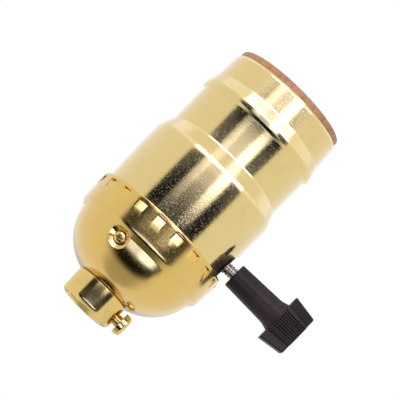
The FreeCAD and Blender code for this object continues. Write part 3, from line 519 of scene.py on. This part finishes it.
def turn(name, corners, lathe=UPRIGHT, steps=144, closed=False, sweep=FULL_TURN):
    """Turns a profile of (radius, distance, bend) corners and rounds each ring to its bend."""
    path = [lathe.point(corner[0], corner[1]) for corner in corners]
    if closed:
        path.append(path[0])
    piece = trace(name, path)
    pick_all(piece)
    bpy.ops.mesh.spin(steps=steps, angle=sweep, center=lathe.centre, axis=lathe.along)
    weld(piece)
    count = len(corners)
    for index, corner in enumerate(corners):
        if len(corner) < 3 or not corner[2]:
            continue
        here = Vector(corner[:2])
        before = Vector(corners[(index - 1) % count][:2])
        after = Vector(corners[(index + 1) % count][:2])
        bend = (here - before).angle(after - here)

        def on_ring(line):
            readings = [lathe.read(end.co) for end in line.verts]
            return all(abs(r - here.x) < 2 * NEAR and abs(d - here.y) < 2 * NEAR for r, d in readings)

        pick(piece, "edges", on_ring)
        bpy.ops.mesh.bevel(
            offset=corner[2] * math.tan(bend / 2),
            segments=max(2, math.ceil(math.degrees(bend) / 9)),
            affect="EDGES",
            clamp_overlap=True,
        )
    leave()
    return piece


def arc(start, end, radius, count):
    """Points of a curve that bulges away from the axis, from start to end."""
    start, end = Vector(start), Vector(end)
    half = (end - start) / 2
    lift = math.sqrt(radius**2 - half.length**2)
    centre = start + half + Vector((-half.y, half.x)).normalized() * lift
    first = math.atan2(start.y - centre.y, start.x - centre.x)
    last = math.atan2(end.y - centre.y, end.x - centre.x)
    turns = [first + (last - first) * index / count for index in range(count + 1)]
    return [(centre.x + radius * math.cos(t), centre.y + radius * math.sin(t), 0) for t in turns]


def soften(piece, width):
    """Rounds the piece's sharp edges."""
    apply_modifier(
        piece,
        "BEVEL",
        width=width,
        segments=2,
        limit_method="ANGLE",
        angle_limit=math.radians(50),
        harden_normals=False,
    )


def dress(piece, body, node, material, smooth=32):
    """Smooths the piece, gives it its finish and stands it for its CAD node."""
    choose(piece)
    settle()
    bpy.ops.object.shade_smooth_by_angle(angle=math.radians(smooth))
    piece.data.materials.clear()
    piece.data.materials.append(material)
    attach(piece, body)
    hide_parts(node)


def block(scale, location=(0, 0, 0)):
    """A plain block that cuts a screw's slit."""
    clear_selection()
    bpy.ops.mesh.primitive_cube_add(size=1, location=location, scale=scale)
    settle()
    return bpy.context.object


def slot_tool(name, width, foot, near, far):
    """A closed cutter, from near to far along the shaft: round on top about it and straight to its foot."""
    half = width / 2
    facets = 24
    turns = [math.pi * facet / facets for facet in range(facets + 1)]
    section = [(half, foot)]
    section += [(half * math.cos(t), SHAFT_LEVEL + half * math.sin(t)) for t in turns]
    section += [(-half, foot)]
    tool = trace(name, [Vector((near, across, height)) for across, height in section])
    pick_all(tool)
    bpy.ops.mesh.edge_face_add()
    bpy.ops.mesh.extrude_region_move(TRANSFORM_OT_translate={"value": (far - near, 0, 0)})
    leave()
    point_faces(tool)
    return tool


def helix(name, lathe, profile, pitch, start, end, steps=48):
    """A screw surface from one turn's profile of (radius, share of the pitch), in whole turns."""
    turns = max(1, round((end - start) / pitch))
    pitch = (end - start) / turns
    piece = trace(name, [Vector((radius, 0, pitch * part)) for radius, part in profile])
    leave()
    apply_modifier(
        piece,
        "SCREW",
        angle=FULL_TURN,
        screw_offset=pitch,
        iterations=turns,
        steps=steps,
        render_steps=steps,
        axis="Z",
        use_merge_vertices=True,
        merge_threshold=MEETING,
    )
    turned = UP.rotation_difference(lathe.along).to_matrix().to_4x4()
    piece.data.transform(Matrix.Translation(lathe.point(0, start)) @ turned)
    return piece


def outside_thread(name, lathe, root, crest, pitch, start, end):
    """A threaded rod: a helical ridge over a plain core with closed ends."""
    profile = [(root, 0.0), (crest, 0.40), (crest, 0.60), (root, 1.0)]
    rod = helix(name, lathe, profile, pitch, start, end)
    middle = (root + crest) / 2
    corners = [(0, start), (middle, start, 0.0001), (middle, end, 0.0001), (0, end)]
    merge(rod, turn(name + "_core", corners, lathe, 48))
    return rod


def sheet(piece, wall):
    """Gives an outer surface its wall, inwards."""
    apply_modifier(piece, "SOLIDIFY", thickness=wall, offset=-1.0, use_even_offset=True)


MATERIALS = {}


class LAMPHOLDER_OT_finishes(bpy.types.Operator):
    """Mixes the materials and gives the pieces that keep their CAD shape their finish"""

    bl_idname = "lampholder.finishes"
    bl_label = "Finishes"

    def execute(self, context):
        s = context.scene.lamp_holder_finishes
        worn = tuple(s.worn)
        sheets = {
            "shell": ("satin gilt shell", tuple(s.shell), worn, s.shell_gloss, 0.000012, 0.15),
            "cap": ("bright gilt cap", tuple(s.cap), worn, s.cap_gloss, 0.000006, 0.08),
        }
        across = (1, 1, 9)
        along = (9, 1, 1)
        metals = {
            "hub": ("turned gilt brass", tuple(s.hub), worn, 0.14, across),
            "screw": ("small screw brass", (0.78, 0.52, 0.17), worn, 0.26, across),
            "contact": ("rolled brass", tuple(s.contact), worn, 0.26, (1, 1, 3)),
            "bronze": ("spring bronze", tuple(s.bronze), worn, 0.24, along),
            "steel": ("turned steel", tuple(s.steel), (0.16, 0.13, 0.10), 0.26, along),
            "plate": ("nickel plate", tuple(s.plate), (0.3, 0.28, 0.25), 0.22, along),
        }
        mouldings = {
            "body": ("switch body moulding", tuple(s.phenolic), 0.48, 0.000012),
            "knob": ("knob moulding", tuple(s.phenolic), 0.34, 0.000005),
        }
        groups = ((sheet_brass, sheets), (turned_metal, metals), (moulded_phenolic, mouldings))
        for recipe, finishes in groups:
            for key, values in finishes.items():
                MATERIALS[key] = recipe(*values)
        MATERIALS["fibre"] = fibre_board("vulcanised fibre", tuple(s.fibre), (0.16, 0.05, 0.02))
        kept = {
            "cap_insulator": "fibre",
            "insulating_disc": "fibre",
            "base_lower": "body",
            "base_upper": "body",
            "rotor": "body",
            "housing_rivets": "steel",
            "retaining_clip": "steel",
            "neutral_terminal": "contact",
            "hot_terminal": "contact",
            "bridge_contact": "contact",
            "neutral_screw": "plate",
            "hot_screw": "hub",
            "contact_rivet": "hub",
            "feed_leaf": "bronze",
            "takeoff_leaf": "bronze",
            "centre_contact": "bronze",
        }
        for node, finish in kept.items():
            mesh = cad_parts[node].data
            if not mesh.materials:
                mesh.materials.append(None)
            for index in range(len(mesh.materials)):
                mesh.materials[index] = MATERIALS[finish]
        return {"FINISHED"}


class LAMPHOLDER_OT_shell(bpy.types.Operator):
    """Turns the drawn shell with its shoulder, bead and slot, and the fibre liner inside it"""

    bl_idname = "lampholder.shell"
    bl_label = "Shell and liner"

    def execute(self, context):
        s = context.scene.lamp_holder_shell
        wide = s.wide_radius
        neck = s.neck_radius
        bead = neck + s.bead_depth
        skirt_top, barrel_foot, barrel_top = 0.0258, 0.0318, 0.0372
        barrel_bend = 0.200
        corners = [
            (s.skirt_radius, s.skirt_foot, 0),
            (wide - 0.00032, skirt_top, 0.010),
            (wide - 0.00007, barrel_foot, barrel_bend),
            (wide, barrel_top, barrel_bend),
            (wide, s.shoulder_foot, 0.0045),
            (neck - 0.00006, s.shoulder_top, 0.0016),
            (neck, s.bead_foot - 0.0004, 0.0003),
            (bead, s.bead_foot + 0.0004, 0.0005),
            (bead, s.bead_foot + 0.0014, 0.0012),
            (s.rim_radius, s.bead_top, 0.0020),
            (s.rim_radius - 0.00022, s.mouth_height - 0.0007, 0.0008),
            (s.mouth_radius - 0.0001, s.mouth_height, 0.0003),
            (s.mouth_radius - 0.00035, s.mouth_height, 0),
        ]
        shell = turn("drawn_shell", corners, steps=192)
        sheet(shell, s.wall)
        cut(shell, slot_tool("shell_slot_tool", s.slot_width, s.skirt_foot - 0.002, 0.012, 0.020))
        soften(shell, 0.00008)
        dress(shell, "shell", "outer_shell", MATERIALS["shell"])

        outer = s.liner_radius
        inner = outer - s.liner_wall
        foot_edge, top_edge = 0.00008, 0.00012
        corners = [
            (inner, s.liner_foot, foot_edge),
            (outer, s.liner_foot, foot_edge),
            (outer, s.liner_top, top_edge),
            (inner, s.liner_top, top_edge),
        ]
        liner = turn("fibre_liner", corners, steps=144, closed=True)
        cut(liner, slot_tool("liner_slot_tool", s.liner_slot, s.liner_foot - 0.002, 0.010, 0.018))
        dress(liner, "shell", "shell_liner", MATERIALS["fibre"])
        return {"FINISHED"}


class LAMPHOLDER_OT_cap(bpy.types.Operator):
    """Draws the domed cap: one bay with its lanced window, carried round, and the screw's dimple"""

    bl_idname = "lampholder.cap"
    bl_label = "Cap"

    def execute(self, context):
        s = context.scene.lamp_holder_cap
        dome = arc((s.floor_radius, s.floor_height), (s.dome_radius, s.dome_top), s.dome_bend, 26)
        grow = s.band_flare / (s.top - s.band_foot)

        def band(height):
            return (s.band_radius + grow * (height - s.band_foot), height, 0)

        rows = 4
        tall = s.window_top - s.window_foot
        floor_hole = 0.0052
        plain_rings = (0.0195, 0.0206)
        corners = [(floor_hole, s.floor_height, 0), *dome]
        corners += [
            (s.dome_radius + 0.00018, s.dome_top + 0.0007, 0.0004),
            (s.band_radius - 0.00002, s.band_foot - 0.0004, 0.0016),
        ]
        corners += [band(height) for height in plain_rings]
        corners += [band(s.window_foot + tall * row / rows) for row in range(rows + 1)]
        corners += [band(s.top)]
        columns = 12
        first, last = 3, 8
        bay = FULL_TURN / s.windows
        cap = turn("domed_cap", corners, steps=columns, sweep=bay)
        ways = [corner.co.y for corner in cap.data.vertices]
        sense = 1 if max(ways) > -min(ways) else -1
        low, high = sorted((sense * bay * first / columns, sense * bay * last / columns))
        middle = (low + high) / 2

        def in_window(place, slack=1e-5):
            heading = math.atan2(place.y, place.x)
            wide = low - slack < heading < high + slack
            return wide and s.window_foot - slack < place.z < s.window_top + slack

        def on_cut(line):
            ends = [end.co for end in line.verts]
            if not all(in_window(end) for end in ends):
                return False
            sides = [all(abs(math.atan2(e.y, e.x) - side) < 1e-5 for e in ends) for side in (low, high)]
            return any(sides) or all(abs(e.z - s.window_top) < NEAR for e in ends)

        edit(cap)
        pick(cap, "edges", on_cut)
        bpy.ops.mesh.edge_split(type="EDGE")
        inward = Vector((-math.cos(middle), -math.sin(middle), 0))
        for row in range(1, rows + 1):
            level = s.window_foot + tall * row / rows

            def on_row(corner):
                if abs(corner.co.z - level) > NEAR or not in_window(corner.co):
                    return False
                return all(in_window(face.calc_center_median(), -NEAR) for face in corner.link_faces)

            pick(cap, "verts", on_row)
            bpy.ops.transform.translate(value=inward * s.lance_depth * row / rows)
        pick_all(cap)
        bpy.ops.mesh.spin(steps=s.windows, dupli=True, angle=FULL_TURN, center=(0, 0, 0), axis=(0, 0, 1))
        weld(cap)
        leave()
        place = Matrix.Rotation(math.radians(-90) + s.window_turn - middle, 4, "Z")
        cap.data.transform(place)
        self.press_dimple(cap, s)
        sheet(cap, s.wall)
        soften(cap, 0.00006)
        dress(cap, "holder", "cap", MATERIALS["cap"], 40)
        self.screw(s)
        return {"FINISHED"}

    def dimple_axis(self, s):
        """The dimple's middle on the dome, and the direction in which it faces."""
        heading, down = s.dimple_turn, s.dimple_tilt
        reach = s.dome_radius - 0.00020
        spot = Vector((reach * math.cos(heading), reach * math.sin(heading), s.dimple_height))
        level = math.cos(down)
        return spot, Vector((math.cos(heading) * level, math.sin(heading) * level, -math.sin(down)))

    def press_dimple(self, cap, s):
        """Refines the dome round the dimple and presses its floor in, with a soft wall round it."""
        spot, out = self.dimple_axis(s)

        def off_axis(place):
            rest = place - spot
            return (rest - out * rest.dot(out)).length if rest.length < 0.006 else 1.0

        edit(cap)
        margin = 0.0006
        pick(cap, "faces", lambda face: off_axis(face.calc_center_median()) < s.dimple_radius + margin)
        bpy.ops.mesh.subdivide(number_cuts=6)
        pick(cap, "verts", lambda corner: off_axis(corner.co) < s.dimple_floor)
        bpy.ops.transform.translate(
            value=-out * s.dimple_depth,
            use_proportional_edit=True,
            proportional_edit_falloff="LINEAR",
            proportional_size=s.dimple_radius - s.dimple_floor,
        )
        leave()

    def screw(self, s):
        """The small slotted screw on the dimple's floor."""
        spot, out = self.dimple_axis(s)
        lathe = Lathe(out, spot)
        radius, height, rounding = 0.00136, 0.00058, 0.0003
        seat = 0.00002 - s.dimple_depth
        top = seat + height
        outline = [
            (0, seat),
            (radius, seat, 0.0001),
            (radius, top - rounding, rounding),
            (0.0008, top, 0.0008),
            (0, top + 0.0001),
        ]
        head = turn("cap_screw_head", outline, lathe, 64)
        slit = block((0.005, 0.00040, 0.0011))
        across = UP.cross(out).normalized()
        frame_of_head = Matrix((across, out.cross(across), out)).transposed().to_4x4()
        frame_of_head.translation = lathe.point(0, top)
        slit.data.transform(frame_of_head @ Matrix.Rotation(math.radians(8), 4, "Z"))
        cut(head, slit)
        soften(head, 0.00005)
        shank, near, far = 0.0009, seat + 0.0001, seat - 0.0017
        corners = [(0, near), (shank, near), (shank, far), (0, far)]
        merge(head, turn("cap_screw_shank", corners, lathe, 32))
        dress(head, "holder", "cap_screw", MATERIALS["screw"])


class LAMPHOLDER_OT_hub(bpy.types.Operator):
    """Turns the hub with its pipe thread, and the slotted side screw"""

    bl_idname = "lampholder.hub"
    bl_label = "Hub and side screw"

    def execute(self, context):
        s = context.scene.lamp_holder_hub
        neck, lead = 0.0056, 0.0005
        corners = [
            (s.bore + lead, 0, 0),
            (s.radius, 0, s.edge),
            (s.top_radius, s.height, 0.0005),
            (neck, s.height, 0),
            (neck, s.bore_height, 0.0001),
            (s.bore, s.bore_height, 0),
            (s.bore, lead, 0),
        ]
        hub = turn("threaded_hub", corners, steps=144, closed=True)
        crest = s.bore - s.thread_depth
        profile = [(s.bore, 0.0), (crest, 0.45), (crest, 0.55), (s.bore, 1.0)]
        thread = helix("hub_thread", UPRIGHT, profile, s.thread_pitch, 0.0003, s.bore_height - 0.0002, 72)
        point_faces(thread, inside=True)
        merge(hub, thread)
        dress(hub, "holder", "hub_bushing", MATERIALS["hub"])

        side = Lathe((1, 0, 0), (0, 0, s.screw_height))
        start = s.screw_head_start
        end = start + s.screw_head_length
        wide = s.screw_head_radius
        corners = [(0, start), (wide, start, 0.00015), (wide, end, 0.0010), (0, end)]
        head = turn("side_screw", corners, side, 64)
        cut(head, block((0.0018, 0.0007, 0.008), (end, 0, s.screw_height)))
        soften(head, 0.00007)
        root, pitch, tip = s.screw_radius - 0.00025, 0.0006, 0.0052
        shank = outside_thread("side_screw_shank", side, root, s.screw_radius, pitch, tip, start)
        merge(head, shank)
        dress(head, "holder", "set_screw", MATERIALS["hub"])
        return {"FINISHED"}


class LAMPHOLDER_OT_knob(bpy.types.Operator):
    """Moulds the ribbed knob and turns the threaded shaft that carries it"""

    bl_idname = "lampholder.knob"
    bl_label = "Knob and shaft"

    def outline(self, s):
        """The head's section, as (depth, height) from the shaft's axis, round one side."""
        tip = s.wing_reach - 0.0004
        pad_edge = 0.0038
        wing_ribs = 4
        span = tip - pad_edge
        points = [(s.wing_thickness - 0.0003, s.wing_reach), (s.wing_thickness, tip)]
        for rib in range(wing_ribs):
            top = tip - span * rib / wing_ribs
            points.append((s.wing_thickness - 0.00007, top - span * 0.85 / wing_ribs))
            points.append((s.wing_thickness, top - span / wing_ribs))
        points.append((s.pad_depth - 0.0003, s.pad_reach + 0.00025))
        pitch = 2 * s.pad_reach / s.ribs
        pad_bulge = 0.00022
        rib_shape = ((1.0, 0.06), (0.12, 0.30), (0.0, 0.5), (0.12, 0.70), (1.0, 0.94))
        for rib in range(s.ribs):
            top = s.pad_reach - rib * pitch
            middle = top - pitch / 2
            depth = s.pad_depth + pad_bulge * (1 - (middle / s.pad_reach) ** 2)
            points += [(depth - s.rib_depth * low, top - pitch * part) for low, part in rib_shape]
        return points

    def execute(self, context):
        s = context.scene.lamp_holder_knob
        flare = s.head_start - 0.0018
        stem = turn(
            "ribbed_knob",
            [
                (0, s.start + 0.0006),
                (0.0015, s.start + 0.0006, 0),
                (0.0017, s.start, 0.0001),
                (s.stem_radius, s.start, 0.00022),
                (s.stem_wide, flare, 0.0026),
                (s.stem_wide + 0.0006, s.head_start + 0.0002, 0),
                (0, s.head_start + 0.0002),
            ],
            SHAFT_AXIS,
            96,
        )
        front = self.outline(s)
        mirrored_lower = [(depth, -height) for depth, height in reversed(front) if height > s.pad_reach]
        side = front + mirrored_lower
        loop = [(-depth, height) for depth, height in side]
        loop += [(depth, height) for depth, height in reversed(side)]
        points = [Vector((s.head_start, depth, SHAFT_LEVEL + height)) for depth, height in loop]
        head = trace("knob_head", points)
        pick_all(head)
        bpy.ops.mesh.edge_face_add()
        taper = s.wing_end_reach / s.wing_reach
        edge = 0.0004
        stages = [
            (s.head_end - edge - s.head_start, taper, 0.95),
            (edge * 0.6, 0.985, 0.97),
            (edge * 0.4, 0.955, 0.93),
        ]
        here = s.head_start
        for step, tall, deep in stages:
            here += step
            bpy.ops.mesh.extrude_region_move(TRANSFORM_OT_translate={"value": (step, 0, 0)})
            bpy.ops.transform.resize(value=(1, deep, tall), center_override=(here, 0, SHAFT_LEVEL))
        weld(head)
        leave()
        merge(stem, head)
        dress(stem, "spindle", "turn_knob", MATERIALS["knob"], 38)

        low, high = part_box("switch_shaft")
        start, end = low.x, high.x
        plain = s.shaft_radius
        step = 0.0164
        corners = [(0, start), (plain, start, 0.0002), (plain, step, 0.00012), (0.0011, step), (0, step)]
        shaft = turn("threaded_shaft", corners, SHAFT_AXIS, 64)
        crest = s.thread_radius
        root, start = crest - 0.0004, step - 0.0002
        thread = outside_thread("shaft_thread", SHAFT_AXIS, root, crest, s.thread_pitch, start, end)
        merge(shaft, thread)
        dress(shaft, "spindle", "switch_shaft", MATERIALS["steel"])
        return {"FINISHED"}


class LAMPHOLDER_OT_lamp_thread(bpy.types.Operator):
    """Rolls the screw shell that takes the lamp"""

    bl_idname = "lampholder.lamp_thread"
    bl_label = "Lamp thread"

    def execute(self, context):
        s = context.scene.lamp_holder_thread
        low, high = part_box("screw_shell")
        foot, top = low.z, high.z
        seat = foot + 0.0046
        outer = s.root + s.wall
        crest = s.crest + s.wall
        middle = (outer + crest) / 2
        swing = (outer - crest) / 2
        wave = [(middle + swing * math.cos(FULL_TURN * part / 12), part / 12) for part in range(13)]
        rolled = helix("rolled_screw_shell", UPRIGHT, wave, s.pitch, seat, top - 0.0008, 96)
        ends = turn(
            "screw_shell_seat",
            [
                (0.0050, foot, 0),
                (outer - 0.0005, foot, 0.0008),
                (outer - 0.0005, seat - 0.0004, 0.0003),
                (outer, seat + 0.0002, 0.0003),
                (outer, seat + 0.0012, 0),
            ],
            UPRIGHT,
            96,
        )
        collar = turn("screw_shell_collar", [(outer, top - 0.0022), (outer, top)], UPRIGHT, 96)
        merge(rolled, ends, collar)
        point_faces(rolled)
        sheet(rolled, s.wall)
        dress(rolled, "holder", "screw_shell", MATERIALS["contact"])
        return {"FINISHED"}


class LAMPHOLDER_OT_studio(bpy.types.Operator):
    """Sets the camera, the pale floor and the soft studio light"""

    bl_idname = "lampholder.studio"
    bl_label = "Studio"

    def execute(self, context):
        s = context.scene.lamp_holder_studio
        self.camera(s)
        self.floor(s)
        self.world()
        self.lamp()
        context.scene.view_settings.view_transform = "Standard"
        return {"FINISHED"}

    def camera(self, s):
        clear_selection()
        bpy.ops.object.camera_add(location=tuple(s.camera))
        camera = bpy.context.object
        camera.name = "studio_camera"
        sight = (Vector(s.aim) - Vector(s.camera)).normalized()
        level = sight.cross(UP).normalized()
        above = level.cross(sight)
        turned = math.cos(s.roll), math.sin(s.roll)
        upright = above * turned[0] - level * turned[1]
        right = level * turned[0] + above * turned[1]
        place = Matrix((right, upright, -sight)).transposed().to_4x4()
        place.translation = Vector(s.camera)
        camera.matrix_world = place
        camera.data.lens = s.lens
        camera.data.clip_start = 0.01
        bpy.context.scene.camera = camera

    def floor(self, s):
        clear_selection()
        bpy.ops.mesh.primitive_plane_add(size=6, location=(0, 0, s.floor_level))
        floor = bpy.context.object
        floor.name = "studio_floor"
        settle()
        material, mix = new_finish("studio floor")
        cloud = mix.noise(mix.place(), 6.0)
        mix.surface(
            {
                "Base Color": mix.blend(cloud, (0.86, 0.86, 0.86), (0.90, 0.90, 0.90)),
                "Roughness": mix.between(cloud, 0.3, 0.7, 0.85, 0.95),
            }
        )
        floor.data.materials.append(material)
        floor.visible_glossy = False

    def world(self):
        """The studio's light, drawn by its heading, its level and its rise above the floor in degrees."""
        world = bpy.data.worlds.new("studio light")
        bpy.context.scene.world = world
        world.use_nodes = True
        mix = Recipe(world.node_tree)
        direction = mix.out(mix.add("ShaderNodeTexCoord"), "Generated")
        parts = mix.add("ShaderNodeSeparateXYZ", None, {0: direction})
        x, y, z = (mix.out(parts, index) for index in range(3))
        ahead = 0 - y
        steep = z * z
        heading = x.angle_over(ahead + steep * steep * steep * 0.6)
        back_heading = x.angle_over(ahead)
        level = z.angle_over(ahead)
        rise = z.angle_of_sine()

        def patch(value, middle, core, edge):
            """Full inside the core on both sides of the middle, and nothing past the edge."""
            return 1 - mix.between(abs(value - middle), core, edge)

        # A dark card stands in front and narrows to a soft round foot.
        bottom = mix.between(level, -50, -66)
        facing = patch(heading, -3, 49, 55) * (1 - bottom) + patch(heading, 2, 20, 70) * bottom
        card = facing * mix.between(level, 18, 28, 1.0, 0.0)
        under = mix.between(level, -72, -57, 0.52, 0.0)
        # Three strips of light on the card's upper half, with a little haze round their foot.
        left = patch(heading, -23, 3, 10)
        right = patch(heading, 17, 4, 12)
        middle = patch(heading, -1, 12, 25)
        strips = (left * 1.1 + right * 2.6 + middle * 0.92) * mix.between(level, 4.7, 9.8)
        haze = mix.between(level, 9.5, 12, 0.0, 0.13) + patch(level, -4, 5, 9) * 0.10
        # Low lights on the card, which the dome mirrors.
        glow = middle * patch(level, -10, 4, 8)
        low_left = patch(heading, -16, 8, 20) * 1.4
        low_right = patch(heading, 18, 9, 24) * 2.4
        low = (low_left + low_right) * patch(level, -23, 5, 12)
        # A bright band over the card, which the pressed panels mirror, and two tall lights above it.
        tall = patch(heading, 17, 5, 14) * 0.9 + patch(heading, -20, 4, 12) * 0.4
        over = patch(rise, 31, 3, 9) * (facing * 3.0 + 0.2) + tall * patch(level, 42, 18, 28)
        # The white room round it all, darker behind and over the holder.
        behind = mix.between(abs(back_heading), 150, 178, 0.0, 0.45) * patch(level, -180, 15, 40)
        ceiling = patch(level, 128, 14, 26) * patch(x * 90, 0, 30, 50) * 0.65
        room = 1 - behind - ceiling
        warm = card * under + (1 - card) * room
        sky = card * (haze + strips)
        pale = card * (glow + low) + over
        red = warm + sky * 0.97 + pale
        green = warm + sky + pale * 1.15
        blue = warm + sky * 1.35 + pale * 2.3
        tint = mix.out(mix.add("ShaderNodeCombineColor", None, {0: red, 1: green, 2: blue}))
        rays = mix.add("ShaderNodeLightPath")
        seen = mix.out(rays, "Is Camera Ray")
        white = mix.out(mix.add("ShaderNodeBackground", None, {"Color": (1, 1, 1), "Strength": 1.0}))
        studio = mix.out(mix.add("ShaderNodeBackground", None, {"Color": tint, "Strength": 1.0}))
        both = mix.add("ShaderNodeMixShader", None, {0: seen, 1: studio, 2: white})
        mix.add("ShaderNodeOutputWorld", None, {"Surface": mix.out(both)})

    def lamp(self):
        clear_selection()
        bpy.ops.object.light_add(type="AREA", location=(-0.5, -0.5, 0.8))
        lamp = bpy.context.object
        lamp.name = "soft_lamp"
        lamp.data.size = 0.8
        lamp.data.energy = 3.0
        lamp.visible_glossy = False
        aim = Vector((0, 0, 0.03))
        lamp.rotation_euler = (aim - lamp.location).to_track_quat("-Z", "Y").to_euler()


class LAMPHOLDER_PT_pieces(bpy.types.Panel):
    """Lists the pieces in the order in which they are made"""

    bl_idname = "LAMPHOLDER_PT_pieces"
    bl_label = "Lamp holder"
    bl_space_type = "VIEW_3D"
    bl_region_type = "UI"
    bl_category = "Lamp holder"

    def draw(self, context):
        for operator in OPERATORS:
            self.layout.operator(operator.bl_idname)


GROUPS = {
    "lamp_holder_shell": ShellSizes,
    "lamp_holder_cap": CapSizes,
    "lamp_holder_hub": HubSizes,
    "lamp_holder_knob": KnobSizes,
    "lamp_holder_thread": LampThreadSizes,
    "lamp_holder_finishes": Finishes,
    "lamp_holder_studio": StudioSizes,
}
OPERATORS = (
    LAMPHOLDER_OT_studio,
    LAMPHOLDER_OT_finishes,
    LAMPHOLDER_OT_shell,
    LAMPHOLDER_OT_cap,
    LAMPHOLDER_OT_hub,
    LAMPHOLDER_OT_knob,
    LAMPHOLDER_OT_lamp_thread,
)
CLASSES = (*GROUPS.values(), *OPERATORS, LAMPHOLDER_PT_pieces)


def register():
    for item in CLASSES:
        bpy.utils.register_class(item)
    for name, group in GROUPS.items():
        setattr(bpy.types.Scene, name, PointerProperty(type=group))


def unregister():
    for name in GROUPS:
        delattr(bpy.types.Scene, name)
    for item in reversed(CLASSES):
        bpy.utils.unregister_class(item)


def main():
    register()
    bpy.ops.lampholder.studio()
    bpy.ops.lampholder.finishes()
    bpy.ops.lampholder.shell()
    bpy.ops.lampholder.cap()
    bpy.ops.lampholder.hub()
    bpy.ops.lampholder.knob()
    bpy.ops.lampholder.lamp_thread()


if __name__ == "__main__":
    main()
